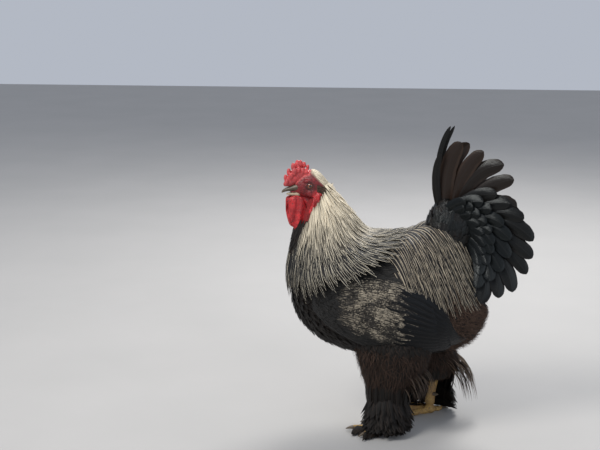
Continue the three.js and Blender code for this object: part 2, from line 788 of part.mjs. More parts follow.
function skullSolid(grow = 0) {
  const brows = SIDES.map(([, side]) => bead(v3(-4, side * 17.5, 11), [15, 5 + grow, 5 + grow], { across: 8, down: 4 }));
  const cheeks = SIDES.map(([, side]) => bead(v3(4, side * 17, -16), [17, 7 + grow, 12 + grow], { across: 8, down: 4 }));
  return union([SKULL.solid(11, 14, grow), DEWLAP.solid(7, 8, grow), ...brows, ...cheeks, ...SIDES.map(([, side]) => lidRing(side))]);
}

// Nostrils under their covers at the root of the bill
const nostrils = () => SIDES.map(([, side]) => bead(v3(-44, side * 8.4, -6.5), [3.4, 2.2, 1.3], { across: 8, down: 6 }));

// Every node's solid, each cut clear of the one that carries it
const headMatrix = new THREE.Matrix4()
  .makeRotationZ(rad(HEAD_YAW))
  .setPosition(HEAD_AT);
const inWorld = (solid) => solid.transform(headMatrix.toArray());

const torsoCore = TORSO.solid(TORSO_STEPS, TORSO_SIDES);
const torsoClear = TORSO.solid(TORSO_STEPS, TORSO_SIDES, GAP);
const rumpCore = RUMP.solid(7, 10);
const rumpClear = RUMP.solid(7, 10, GAP);

const wings = new Map(SIDES.map(([name, side]) => {
  const whole = union([wingCore(side), ...wingFeathers(side)]);
  return [name, largest(whole.subtract(torsoClear))];
}));
const wingsClear = SIDES.map(([, side]) => wingCore(side, 12));
const wingsWide = SIDES.map(([, side]) => wingCore(side, 20));

const saddle = cutBy(union(saddleHackles()), [...wingsClear, rumpClear]);
const torso = largest(union([torsoCore, saddle]));
const saddleClear = cutBy(union(saddleHackles(GAP)), [wingCore(LEFT, 11), wingCore(RIGHT, 11)]);

const skull = skullSolid();
const skullClear = inWorld(skullSolid(GAP));
const lobesClear = SIDES.map(([, side]) => inWorld(lobeForm(side).solid(7, 8, 4 * GAP)));
const wattlesClear = SIDES.map(([, side]) => inWorld(wattleForm(side).solid(8, 10, 2 * GAP)));
const neck = largest(cutBy(union([NECK.solid(11, 16), ...hackles()]), [
  torsoClear, saddleClear, ...wingsClear, skullClear, ...lobesClear, ...wattlesClear,
]));
const tail = largest(cutBy(union([rumpCore, ...tailFeathers()]), [torsoClear, saddleClear]));

const billsClear = [UPPER_BILL.solid(9, 9, GAP), LOWER_BILL.solid(7, 9, GAP)];
const head = largest(cutBy(skull, [eyeBall(LEFT, GAP), eyeBall(RIGHT, GAP), ...billsClear]));
const upperBill = largest(cutBy(UPPER_BILL.solid(9, 9), nostrils()));
const lowerBill = LOWER_BILL.solid(7, 9);
const comb = largest(cutBy(combSolid(), [skullSolid(GAP), billsClear[0]]));
const headOnly = [skullSolid(GAP), ...billsClear];

const legs = new Map(SIDES.map(([name, side, foot]) => {
  const thighCore = thighForm(side, foot);
  const thighClear = thighCore.solid(8, 12, GAP);
  const thigh = largest(cutBy(union([thighCore.solid(8, 12), ...hockFeathers(side, foot)]), [torsoClear, ...wingsWide]));
  const floor = solidFrom(new THREE.BoxGeometry(900, 900, 60).translate(0, 0, -30));
  const claws = TOES.map((toe) => largest(clawSolid(side, foot, toe)
    .subtract(floor.translate([0, 0, GAP]))));
  const clawsClear = TOES.map((toe) => clawSolid(side, foot, toe, GAP));
  const palm = bead(v3(foot + 1, side * HALF_STANCE, 10), [15, 14, 12], { across: 10, down: 6 });
  const footWhole = cutBy(union([palm, ...TOES.map((toe) => toeSolid(side, foot, toe))]), [floor, ...clawsClear]);
  const footClear = union([
    bead(v3(foot + 1, side * HALF_STANCE, 10), [15 + GAP, 14 + GAP, 12 + GAP], { across: 10, down: 6 }),
    ...TOES.map((toe) => toeSolid(side, foot, { ...toe, radius: toe.radius + GAP })),
  ]);
  const shank = union([
    shankForm(side, foot).solid(8, 9),
    ...shankScutes(side, foot),
    ...bootFeathers(side, foot),
  ]);
  return [name, {
    thigh,
    claws,
    foot: largest(union([footWhole, cutBy(union(toeFeathers(side, foot)), [floor.translate([0, 0, 1]), ...clawsClear])]))
      .trimByPlane([0, 0, 1], SOLE),
    shank: largest(cutBy(shank, [thighClear, footClear, spurSolid(side, foot, GAP), floor.translate([0, 0, 1])])),
    spur: largest(spurSolid(side, foot)),
  }];
}));

// The scene graph
const bird = new THREE.Group();
bird.name = "brahma_cock";

function material(slot) {
  const [colour, roughness] = COLOURS[slot];
  return new THREE.MeshStandardMaterial({ color: colour, roughness, metalness: 0 });
}

// Adds a node whose mesh stands at its own pivot, inside the group that carries it
function addNode(group, name, solid, slot, pivot, groupAt = v3(0, 0, 0)) {
  const geometry = geometryFrom(solid);
  geometry.translate(-pivot.x, -pivot.y, -pivot.z);
  const mesh = new THREE.Mesh(geometry, material(slot));
  mesh.name = name;
  mesh.position.copy(pivot).sub(groupAt);
  group.add(mesh);
  return mesh;
}

const ORIGIN = v3(0, 0, 0);
addNode(bird, "torso", torso, "body", v3(-40, 0, 320));
addNode(bird, "neck", neck, "hackle", v3(-165, 0, 430));
addNode(bird, "tail", tail, "tail", FAN_CENTRE);
wings.forEach((solid, name) => addNode(bird, `wing_${name}`, solid, "wing", v3(-190, name === "left" ? -80 : 80, 370)));

const headGroup = new THREE.Group();
headGroup.position.copy(HEAD_AT);
headGroup.rotation.z = rad(HEAD_YAW);
bird.add(headGroup);
addNode(headGroup, "head", head, "skin", ORIGIN);
addNode(headGroup, "beak_upper", upperBill, "horn", ORIGIN);
addNode(headGroup, "beak_lower", lowerBill, "horn", ORIGIN);
addNode(headGroup, "comb", comb, "skin", ORIGIN);
SIDES.forEach(([name, side]) => {
  addNode(headGroup, `eye_${name}`, eyeBall(side), "eye", v3(EYE_AT.x, side * EYE_AT.y, EYE_AT.z));
  addNode(headGroup, `wattle_${name}`, largest(cutBy(wattleForm(side).solid(8, 10), headOnly)), "skin", v3(-38, side * 10, -26));
  addNode(headGroup, `earlobe_${name}`, largest(cutBy(lobeForm(side).solid(7, 8), headOnly)), "skin", v3(17, side * 20, -14));
});

SIDES.forEach(([name, side, foot]) => {
  const leg = legs.get(name);
  const hip = v3(-26, side * 58, 290);
  const hock = v3(foot + 14, side * HALF_STANCE, 118);
  const ankle = v3(foot, side * HALF_STANCE, 20);
  const legGroup = new THREE.Group();
  legGroup.position.copy(hip);
  const hockGroup = new THREE.Group();
  hockGroup.position.copy(hock).sub(hip);
  const footGroup = new THREE.Group();
  footGroup.position.copy(ankle).sub(hock);
  bird.add(legGroup);
  legGroup.add(hockGroup);
  hockGroup.add(footGroup);
  addNode(legGroup, `thigh_${name}`, leg.thigh, "body", hip, hip);
  addNode(hockGroup, `shank_${name}`, leg.shank, "shank", hock, hock);
  addNode(hockGroup, `spur_${name}`, leg.spur, "horn", hock, hock);
  addNode(footGroup, `foot_${name}`, leg.foot, "shank", ankle, ankle);
  TOES.forEach((toe, i) => addNode(footGroup, `claw_${name}_${toe.name}`, leg.claws[i], "horn", ankle, ankle));
});

// The origin goes under the middle of the bird, on the floor
bird.updateMatrixWorld(true);
const box = new THREE.Box3().setFromObject(bird, true);
bird.position.set(-(box.min.x + box.max.x) / 2, -(box.min.y + box.max.y) / 2, -box.min.z);

export default bird;
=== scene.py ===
import math

import bpy
import numpy as np
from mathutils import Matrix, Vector
from mathutils.bvhtree import BVHTree
from mathutils.kdtree import KDTree


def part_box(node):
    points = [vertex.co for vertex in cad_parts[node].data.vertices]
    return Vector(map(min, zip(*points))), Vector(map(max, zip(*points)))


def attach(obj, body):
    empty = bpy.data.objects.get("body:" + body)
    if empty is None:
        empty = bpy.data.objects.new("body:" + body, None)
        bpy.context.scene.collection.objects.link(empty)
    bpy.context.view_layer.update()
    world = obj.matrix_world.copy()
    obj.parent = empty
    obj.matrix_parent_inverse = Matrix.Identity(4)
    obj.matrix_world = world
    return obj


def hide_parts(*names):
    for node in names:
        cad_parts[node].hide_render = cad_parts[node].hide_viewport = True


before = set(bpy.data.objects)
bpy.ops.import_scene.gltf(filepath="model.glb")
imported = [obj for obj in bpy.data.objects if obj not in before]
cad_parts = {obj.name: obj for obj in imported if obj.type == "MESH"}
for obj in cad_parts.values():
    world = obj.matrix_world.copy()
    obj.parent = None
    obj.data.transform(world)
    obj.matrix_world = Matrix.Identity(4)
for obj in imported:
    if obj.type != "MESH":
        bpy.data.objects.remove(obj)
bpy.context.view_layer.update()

bpy.ops.object.select_all(action="DESELECT")


def placed(name, data):
    made = bpy.data.objects.new(name, data)
    bpy.context.scene.collection.objects.link(made)
    return made


# Camera: seen from the bird's left side and a little above, with the bird right of the middle
cameraSetup = {
    "place": (0.0, -2.624, 1.113),
    "pitch": 13.4,  # degrees below level
    "yaw": 5.42,  # degrees to the left
    "lens": 69.0,
}
camera = placed("photoCamera", bpy.data.cameras.new("photoCamera"))
camera.location = cameraSetup["place"]
camera.rotation_euler = (math.radians(90 - cameraSetup["pitch"]), 0, math.radians(cameraSetup["yaw"]))
camera.data.lens = cameraSetup["lens"]
bpy.context.scene.camera = camera
bpy.context.scene.view_settings.view_transform = "Standard"
print("camera placed")

# The bird's own sizes in millimetres: it faces -X, its left is -Y, and it stands on z = 0
bird = {
    "headAt": (-226.0, 0.0, 583.0),
    "headYaw": 9.0,  # degrees that the head turns to its left
    "halfStance": 64.0,
    "leftFoot": -42.0,
    "rightFoot": 64.0,
    "coatDepth": 9.0,  # how far the skin lies inside the feathered outline
    "eyeAt": (-3.0, 15.8, 0.0),  # in the head's own frame, with y outwards
    "eyeRadius": 8.2,
}
sides = (("left", -1, bird["leftFoot"]), ("right", 1, bird["rightFoot"]))
stance = bird["halfStance"]
rng = np.random.default_rng(7)
headCos, headSin = math.cos(math.radians(bird["headYaw"])), math.sin(math.radians(bird["headYaw"]))


# A point of the head's own frame, where the bill points along -X
def fromHead(points):
    x, y, z = np.moveaxis(np.asarray(points, float), -1, 0)
    return np.stack([x * headCos - y * headSin, x * headSin + y * headCos, z], -1) + np.array(bird["headAt"])


def intoHead(points):
    x, y, z = np.moveaxis(np.asarray(points, float) - np.array(bird["headAt"]), -1, 0)
    return np.stack([x * headCos + y * headSin, y * headCos - x * headSin, z], -1)


def eyePoint(side, outwards=0.0):
    x, y, z = bird["eyeAt"]
    return (x, side * (y + outwards), z)


# The solids were moved to the middle of their box, so what is made here moves along with their eyes
eyeCorners = [np.array(corner) for name, side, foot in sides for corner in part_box("eye_" + name)]
shift = sum(eyeCorners) / 4 * 1000 - fromHead(eyePoint(0))


# Smooth values between the rows of a list, at shares from 0 to 1
def alongRows(rows, share):
    rows = np.asarray(rows, float)
    last = len(rows) - 1
    place = np.clip(share, 0, 1) * last
    i = np.minimum(place.astype(int), last - 1)
    f = (place - i)[..., None]
    a, b, c, d = (rows[np.clip(i + k, 0, last)] for k in (-1, 0, 1, 2))
    slope, nextSlope = (c - a) / 2, (d - b) / 2
    return ((2 * f**3 - 3 * f**2 + 1) * b + (f**3 - 2 * f**2 + f) * slope
            + (3 * f**2 - 2 * f**3) * c + (f**3 - f**2) * nextSlope)


def unit(vectors):
    return vectors / np.maximum(np.linalg.norm(vectors, axis=-1, keepdims=True), 1e-9)


def mix(a, b, share):
    return a + (b - a) * share


def upwards(heights):
    return np.stack([0 * heights, 0 * heights, heights], -1)


# A body form: rings strung between two lines of the side view, such as back and belly, or throat and nape.
# A station is [x and z on the first line, x and z on the second, half width, sideways centre].
class Form:
    def __init__(self, stations, square=2.0, side=0, shape=None, place=None):
        self.rows = np.array([list(row) + [0] * (6 - len(row)) for row in stations], float)
        self.square = square
        self.side = side
        self.shape = shape
        self.place = place

    # s runs along the form, and angle (degrees) from the first line round the left side
    def point(self, s, angle):
        s, angle = np.broadcast_arrays(np.asarray(s, float), np.asarray(angle, float))
        ax, az, bx, bz, half, centre = np.moveaxis(alongRows(self.rows, s), -1, 0)
        along, across = (np.sign(c) * np.abs(c) ** (2 / self.square)
                         for c in (np.cos(np.radians(angle)), np.sin(np.radians(angle))))
        share = (1 - along) / 2
        p = np.stack([mix(ax, bx, share), centre * self.side - half * across, mix(az, bz, share)], -1)
        if self.shape:
            p = self.shape(p, s)
        return self.place(p) if self.place else p

    # Beyond its end the form goes straight on
    def extended(self, s, angle):
        over = np.maximum(np.asarray(s) - 1, 0)[..., None]
        return self.point(s, angle) + over * (self.point(1.0, angle) - self.point(0.97, angle)) / 0.03

    def normal(self, s, angle):
        inside = np.clip(s, 0.01, 0.99)
        forward = self.point(inside + 0.006, angle) - self.point(inside - 0.006, angle)
        around = self.point(inside, angle + 1) - self.point(inside, angle - 1)
        outward = self.point(inside, angle) - self.point(inside, angle + 180)
        normal = unit(np.cross(around, forward))
        return normal * np.sign(np.sum(normal * outward, -1, keepdims=True))

    def lifted(self, s, angle, lift):
        return self.extended(s, angle) + self.normal(s, angle) * np.asarray(lift)[..., None]

    # The form's surface, sunk by a depth that fades out at both ends
    def inset(self, depth):
        return lambda s, angle: self.point(s, angle) - self.normal(s, angle) * (
            depth * np.sin(np.pi * s) ** 0.3)[..., None]

    # Where along the form its middle reaches x
    def atX(self, x):
        share = np.linspace(0, 1, 400)
        rows = alongRows(self.rows, share)
        return np.interp(x, (rows[:, 0] + rows[:, 2]) / 2, share)


torsoForm = Form([
    [-273, 352, -273, 348, 1],
    [-269, 392, -266, 300, 40],
    [-252, 426, -247, 258, 72],
    [-214, 448, -210, 222, 96],
    [-165, 452, -165, 199, 112],
    [-110, 450, -110, 186, 121],
    [-50, 456, -50, 180, 124],
    [10, 474, 10, 180, 121],
    [60, 494, 65, 186, 110],
    [100, 488, 112, 196, 92],
    [135, 440, 150, 216, 70],
    [160, 376, 175, 246, 44],
    [178, 318, 187, 280, 22],
    [184, 300, 184, 296, 1],
], square=2.15)
neckForm = Form([
    [-208, 583, -204, 585, 1],
    [-226, 566, -188, 582, 20],
    [-237, 541, -168, 552, 31],
    [-252, 502, -133, 522, 47],
    [-264, 452, -107, 480, 68],
    [-262, 412, -86, 458, 88],
    [-232, 384, -84, 436, 90],
    [-150, 400, -146, 402, 1],
])
capeForm = Form([
    [-231, 566, -186, 589, 24],
    [-243, 541, -165, 559, 35],
    [-259, 503, -132, 521, 52],
    [-272, 452, -101, 482, 75],
    [-279, 400, -72, 468, 103],
    [-278, 348, -48, 468, 128],
    [-264, 300, -28, 470, 138],
])
rumpForm = Form([
    [70, 440, 92, 440, 1],
    [46, 486, 136, 436, 52],
    [54, 516, 156, 468, 50],
    [66, 538, 156, 504, 36],
    [84, 552, 146, 530, 18],
    [114, 546, 116, 544, 1],
])


def thighForm(side, foot):
    ahead = foot - bird["leftFoot"]
    return Form([
        [-30, 300, -26, 300, 1, 58],
        [-116 + 0.3 * ahead, 250, 58 + 0.3 * ahead, 236, 56, 60],
        [-112 + 0.5 * ahead, 205, 56 + 0.5 * ahead, 190, 56, 62],
        [-100 + 0.8 * ahead, 162, 42 + 0.8 * ahead, 152, 49, 63],
        [-88 + ahead, 128, 20 + ahead, 122, 38, stance],
        [-70 + ahead, 104, -4 + ahead, 102, 24, stance],
        [-38 + ahead, 94, -34 + ahead, 94, 1, stance],
    ], side=side)


def shankForm(side, foot):
    return Form([
        [foot + 12, 138, foot + 16, 138, 1, stance],
        [foot + 2, 118, foot + 26, 118, 11, stance],
        [foot - 1, 84, foot + 20, 84, 9, stance],
        [foot - 6, 48, foot + 14, 48, 9.5, stance],
        [foot - 10, 28, foot + 13, 27, 12, stance],
        [foot + 1, 8, foot + 3, 8, 1, stance],
    ], side=side)


skullForm = Form([
    [-39, -6, -39, -8, 1],
    [-36, 6, -36, -17, 8.5],
    [-27, 18, -28, -25, 14],
    [-14, 28, -15, -31, 19],
    [2, 36, -1, -36, 22.5],
    [17, 31, 13, -39, 23.5],
    [31, 16, 27, -40, 21],
    [40, 3, 38, -24, 12],
    [42, -8, 42, -14, 1],
], place=fromHead)
dewlapForm = Form([
    [-24, -22, 6, -22, 1],
    [-28, -32, 16, -30, 8],
    [-24, -48, 22, -46, 9],
    [-20, -64, 24, -62, 8],
    [-10, -80, 12, -78, 4],
    [-2, -86, 4, -86, 1],
], place=fromHead)


# One value of every item of a Blender collection, as rows of an array
def gathered(items, name, columns, kind=float):
    values = np.empty(len(items) * columns, kind)
    items.foreach_get(name, values)
    return values.reshape(-1, columns)


def picked(piece, *others):
    bpy.ops.object.select_all(action="DESELECT")
    for one in (piece, *others):
        one.select_set(True)
    bpy.context.view_layer.objects.active = piece
    return piece


# An operator of edit mode, on the whole of a piece
def edited(piece, operator, **settings):
    picked(piece)
    bpy.ops.object.mode_set(mode="EDIT")
    bpy.ops.mesh.select_all(action="SELECT")
    operator(**settings)
    bpy.ops.object.mode_set(mode="OBJECT")
    return piece


def modified(piece, kind, **settings):
    modifier = picked(piece).modifiers.new(kind.lower(), kind)
    for key, value in settings.items():
        setattr(modifier, key, value)
    bpy.ops.object.modifier_apply(modifier=modifier.name)
    return piece


# One mesh piece from a round primitive whose vertices move onto a form: its poles are the form's ends
def shapedBall(name, point, segments=40, rings=32):
    bpy.ops.object.select_all(action="DESELECT")
    bpy.ops.mesh.primitive_uv_sphere_add(segments=segments, ring_count=rings, radius=1, location=(0, 0, 0))
    piece = bpy.context.object
    piece.name = name
    x, y, z = gathered(piece.data.vertices, "co", 3).T
    s = np.arccos(np.clip(z, -1, 1)) / np.pi
    points = (point(s, np.degrees(np.arctan2(y, x))) + shift) / 1000
    piece.data.vertices.foreach_set("co", points.ravel())
    return edited(piece, bpy.ops.mesh.normals_make_consistent, inside=False)


# A ball stretched along the axes of the head's frame, or of the bird's
def bead(name, centre, radii, place=None, segments=20, rings=14):
    def point(s, angle):
        a, t = np.radians(angle), np.pi * s
        p = np.array(centre) + np.stack(
            [radii[0] * np.sin(t) * np.cos(a), radii[1] * np.sin(t) * np.sin(a), radii[2] * np.cos(t)], -1)
        return place(p) if place else p
    return shapedBall(name, point, segments, rings)


# A limb of changing thickness along a curve: centres and radii are rows for alongRows
def limb(name, centres, radii, segments, rings):
    def point(s, angle):
        ahead = unit(alongRows(centres, s + 0.02) - alongRows(centres, s - 0.02))
        acrossLimb = unit(np.cross(np.array([0.0, 0.0, 1.0]), ahead))
        cap = np.clip(np.minimum(s, 1 - s) / 0.06, 0, 1)
        r = alongRows(np.asarray(radii, float)[:, None], s)[..., 0] * np.sqrt(1 - (1 - cap) ** 2)
        a = np.radians(angle)
        return (alongRows(centres, s) + acrossLimb * (r * np.cos(a))[..., None]
                + np.cross(ahead, acrossLimb) * (r * np.sin(a))[..., None])
    return shapedBall(name, point, segments, rings)


def joined(name, pieces):
    whole = picked(*pieces)
    bpy.ops.object.join()
    whole.name = name
    return whole


# Melts overlapping pieces into one skin, with faces about as large as size (mm)
def melted(name, pieces, size, rounds):
    piece = modified(joined(name, pieces), "REMESH", mode="VOXEL", voxel_size=size / 1000)
    return modified(piece, "SMOOTH", factor=0.5, iterations=rounds)


def withMaterial(piece, material):
    piece.data.materials.clear()
    piece.data.materials.append(material)
    return piece


# A finished piece rides on the bird and stands for solids of the frame
def finished(piece, slotName, *nodes):
    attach(piece, "root")
    if nodes:
        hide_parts(*nodes)


# A smooth hard piece, such as a claw or the bill
def hardPiece(piece, material, slotName, cadNode):
    withMaterial(picked(piece), material)
    bpy.ops.object.shade_smooth()
    finished(piece, slotName, cadNode)


def feed(tree, socket, value):
    if isinstance(value, Value):
        tree.links.new(value.socket, socket)
    else:
        socket.default_value = (*value, 1.0) if socket.type == "RGBA" else value


# A shader node with its settings and inputs. It gives its outputs by number and by name.
def node(tree, kind, inputs=None, **settings):
    made = tree.nodes.new("ShaderNode" + kind)
    made.location = (190 * (len(tree.nodes) % 12), -240 * (len(tree.nodes) // 12))
    for key, value in settings.items():
        setattr(made, key, value)
    for key, value in (inputs or {}).items():
        feed(tree, made.inputs[key], value)
    return {key: Value(tree, socket) for i, socket in enumerate(made.outputs) for key in (i, socket.name)}


# What a socket gives in its tree: sums, products and steps of it make the nodes for them
class Value:
    def __init__(self, tree, socket):
        self.tree = tree
        self.socket = socket

    def maths(self, operation, *others):
        return node(self.tree, "Math", dict(enumerate((self, *others))), operation=operation)[0]

    def __add__(self, other):
        return self.maths("ADD", other)

    def __sub__(self, other):
        return self.maths("SUBTRACT", other)

    def __rsub__(self, other):
        return self.maths("MULTIPLY_ADD", -1.0, other)

    def __mul__(self, other):
        return self.maths("MULTIPLY", other)

    # Smooth step between two bounds
    def between(self, low, high):
        return node(self.tree, "MapRange", {0: self, 1: low, 2: high}, interpolation_type="SMOOTHSTEP")[0]

    def axes(self):
        return node(self.tree, "SeparateXYZ", {0: self})


def blended(share, a, b, how="MIX"):
    tree = next(value.tree for value in (share, a, b) if isinstance(value, Value))
    return node(tree, "Mix", {0: share, 6: a, 7: b}, data_type="RGBA", blend_type=how)[2]


def objectPlace(tree):
    return node(tree, "TexCoord")["Object"]


def noise(vector, scale, detail):
    return node(vector.tree, "TexNoise", {"Vector": vector, "Scale": scale, "Detail": detail})[0]


def featherNoise(random, scale, detail):
    return node(random.tree, "TexNoise", {"W": random, "Scale": scale, "Detail": detail},
                noise_dimensions="4D")[0]


def cells(vector, scale, feature):
    return node(vector.tree, "TexVoronoi", {"Vector": vector, "Scale": scale}, feature=feature)[0]


def bumped(height, strength, distance):
    return node(height.tree, "Bump", {"Strength": strength, "Distance": distance, "Height": height})[0]


# A node group from the function that makes its nodes. Its sockets get their kinds from their names.
def newGroup(name, inputs, build):
    group = bpy.data.node_groups.new(name, "ShaderNodeTree")

    def addSockets(labels, way):
        for label in labels:
            kind = "Color" if "Colour" in label else "Vector" if label == "Normal" else "Float"
            group.interface.new_socket(label, in_out=way, socket_type="NodeSocket" + kind)
    addSockets(inputs, "INPUT")
    start = group.nodes.new("NodeGroupInput")
    results = build(group, {label: Value(group, start.outputs[label]) for label in inputs})
    addSockets(results, "OUTPUT")
    end = group.nodes.new("NodeGroupOutput")
    end.location = (2400, 0)
    for label, value in results.items():
        feed(group, end.inputs[label], value)
    return group


# A material from the function that makes its nodes and says what feeds its surface
def newMaterial(name, build, *values):
    material = bpy.data.materials.new(name)
    material.use_nodes = True
    tree = material.node_tree
    for key, value in build(tree, *values).items():
        feed(tree, tree.nodes["Principled BSDF"].inputs[key], value)
    return material


# Where a point lies on its feather: 0 at the shaft and 1 at the margin, and 0 at the root and 1 at the tip
def featherPlaceNodes(tree, given):
    place = node(tree, "UVMap", uv_map="featherMap")[0].axes()
    vary = node(tree, "SeparateColor", {0: node(tree, "Attribute", attribute_name="vary")["Color"]})
    return {"Margin": (place[0] * 2.0 - 1.0).maths("ABSOLUTE"), "Along": place[1],
            "Random": vary[0], "Tone": vary[1], "Shade": vary[2]}


# Slanting barbs and the shaft of a feather, as lines and as a bumped normal
def barbNodes(tree, given):
    slanted = given["Along"] - given["Margin"] * given["Slant"]
    uneven = featherNoise(given["Random"], 6.0, 2.0) * 0.06 + slanted
    lines = (uneven * given["Count"] * (2 * math.pi)).maths("SINE") * 0.5 + 0.5
    shaft = 1 - given["Margin"].between(0.02, 0.09)
    height = lines * 0.35 + shaft * 0.8
    return {"Lines": lines, "Shaft": shaft, "Normal": bumped(height, given["Depth"], 0.0006)}


# A dark middle and a pale margin, with the middle running out before the tip
def lacingNodes(tree, given):
    edge = featherNoise(given["Random"], 22.0, 3.0) * 0.22 + (given["Margin"] - 0.11)
    width = given["Stripe"] * (1 - given["Along"].between(given["End"] - 0.07, given["End"]))
    mask = edge.between(width - 0.1, width + 0.1)
    return {"Colour": blended(mask, given["Middle Colour"], given["Margin Colour"])}


featherPlace = newGroup("featherPlace", (), featherPlaceNodes)
barbs = newGroup("barbs", ("Margin", "Along", "Random", "Count", "Slant", "Depth"), barbNodes)
lacing = newGroup("lacing", ("Margin", "Along", "Random", "Middle Colour", "Margin Colour", "Stripe", "End"),
                  lacingNodes)


# A feather's material. Tone 0 takes the first middle and margin, tone 1 the second.
def featherNodes(tree, look):
    place = node(tree, "Group", node_tree=featherPlace)
    tone = place["Tone"]
    shared = {label: place[label] for label in ("Margin", "Along", "Random")}
    lines = node(tree, "Group", dict(shared, Count=look["barbs"], Slant=look["slant"], Depth=look["depth"]),
                 node_tree=barbs)
    middle = blended(tone, *look["middle"])
    margin = blended(tone, *look["margin"])
    stripe = tone * (look["stripe"][1] - look["stripe"][0]) + look["stripe"][0]
    laced = node(tree, "Group", {**shared, "Middle Colour": middle, "Margin Colour": margin,
                                 "Stripe": stripe, "End": look["end"]}, node_tree=lacing)
    coords = objectPlace(tree)
    mottled = (noise(coords, 260.0, 3.0) + noise(coords, 34.0, 3.0)).between(0.86, 1.1)
    spotted = blended(mottled * look["mottle"], laced["Colour"], middle)
    downy = blended((1 - place["Along"].between(0.0, 0.35)) * 0.6, spotted, look["down"])
    strength = (place["Shade"] * 0.4 + 0.82) * (lines["Lines"] * 0.1 + 0.95)
    grey = node(tree, "CombineColor", {0: strength, 1: strength, 2: strength})[0]
    shaded = blended(1.0, downy, grey, "MULTIPLY")
    return {
        "Base Color": blended(lines["Shaft"] * look["shaft"], shaded, look["shaftColour"]),
        "Normal": lines["Normal"],
        "Roughness": lines["Lines"] * 0.1 + (look["roughness"] - 0.05),
        "Specular IOR Level": look["specular"],
        "Specular Tint": look["tint"],
    }


plainFeather = {
    "roughness": 0.6, "barbs": 40.0, "slant": 0.16, "depth": 0.5, "stripe": (0.6, 0.6), "end": 1.2,
    "mottle": 0.0, "down": (0.02, 0.017, 0.015), "specular": 0.3, "tint": (1.0, 1.0, 1.0),
    "shaft": 0.3, "shaftColour": (0.05, 0.042, 0.034),
}
featherLooks = {
    "hackle": dict(middle=((0.32, 0.27, 0.19), (0.005, 0.005, 0.005)),
                   margin=((0.74, 0.64, 0.47), (0.60, 0.54, 0.42)), stripe=(-0.05, 0.78), end=1.0,
                   roughness=0.5, down=(0.10, 0.085, 0.06), shaft=0.0),
    "saddle": dict(middle=((0.006, 0.006, 0.006), (0.008, 0.007, 0.007)),
                   margin=((0.50, 0.43, 0.32), (0.36, 0.30, 0.22)), stripe=(0.64, 0.72), end=1.0,
                   roughness=0.48, shaft=0.0),
    "bow": dict(middle=((0.012, 0.010, 0.009), (0.006, 0.006, 0.006)),
                margin=((0.40, 0.345, 0.26), (0.02, 0.017, 0.014)), stripe=(0.2, 0.6), mottle=0.95,
                roughness=0.55),
    "wingBar": dict(middle=((0.0025, 0.003, 0.004), (0.004, 0.004, 0.004)),
                    margin=((0.012, 0.011, 0.011), (0.040, 0.032, 0.026)), stripe=(0.88, 0.88),
                    roughness=0.3, specular=0.2, tint=(0.95, 0.97, 1.0), barbs=90.0, depth=0.35,
                    down=(0.01, 0.01, 0.01), shaftColour=(0.02, 0.02, 0.02)),
    # The tail's second tone, brown, is painted backlight: sun shining through the main feathers
    "tail": dict(middle=((0.0025, 0.0032, 0.003), (0.026, 0.015, 0.010)),
                 margin=((0.004, 0.005, 0.0055), (0.045, 0.026, 0.017)), stripe=(0.75, 0.7),
                 roughness=0.26, specular=0.27, tint=(0.92, 0.98, 1.0), barbs=110.0, depth=0.4, slant=0.1,
                 down=(0.01, 0.01, 0.01), shaftColour=(0.02, 0.018, 0.016)),
    "body": dict(middle=((0.004, 0.0035, 0.003), (0.008, 0.006, 0.005)),
                 margin=((0.008, 0.006, 0.005), (0.026, 0.017, 0.012)), stripe=(0.7, 0.5), specular=0.2,
                 down=(0.01, 0.008, 0.007)),
    "fluff": dict(middle=((0.012, 0.008, 0.0065), (0.085, 0.052, 0.038)),
                  margin=((0.020, 0.013, 0.010), (0.14, 0.09, 0.066)), stripe=(0.5, 0.4), roughness=0.85,
                  specular=0.15, shaft=0.0),
    "hock": dict(middle=((0.018, 0.012, 0.009), (0.05, 0.032, 0.022)),
                 margin=((0.05, 0.034, 0.024), (0.24, 0.17, 0.115)), stripe=(0.5, 0.35), roughness=0.7,
                 shaft=0.0),
}
feathers = {name: newMaterial(name + "Feathers", featherNodes, {**plainFeather, **look})
            for name, look in featherLooks.items()}
print("feather materials made")


# Grained and folded red skin, darker around the eyes, with painted shade in the creases and painted
# highlights on the grain tops, as a colour and a height
def redGrainNodes(tree, given):
    coords = objectPlace(tree)
    patches = noise(coords, 55.0, 4.0).between(0.3, 0.7)
    grains = cells(coords, 520.0, "SMOOTH_F1")
    folds = noise(coords, 230.0, 5.0)
    base = blended(patches, (0.32, 0.007, 0.010), (0.60, 0.022, 0.026))
    # Painted shade: the red darkens in the low folds, where the creases lie
    creaseShaded = blended(folds.between(0.5, 0.3), base, (0.16, 0.004, 0.006))
    # Painted highlight: pale pink on the raised tops of the grains
    highlitTops = blended(grains.between(0.4, 0.0) * 0.35, creaseShaded, (0.74, 0.13, 0.12))
    nearest = 1.0
    for name, side, foot in sides:
        lidPlace = tuple((fromHead(eyePoint(side, 4)) + shift) / 1000)
        away = node(tree, "VectorMath", {0: coords, 1: lidPlace}, operation="DISTANCE")["Value"]
        nearest = away.maths("MINIMUM", nearest)
    aroundEye = (folds * 0.014 + nearest).between(0.026, 0.012) * 0.88
    return {"Colour": blended(aroundEye, highlitTops, (0.055, 0.014, 0.010)), "Height": folds * 0.9 + grains * -0.6}


redGrain = newGroup("redGrain", (), redGrainNodes)


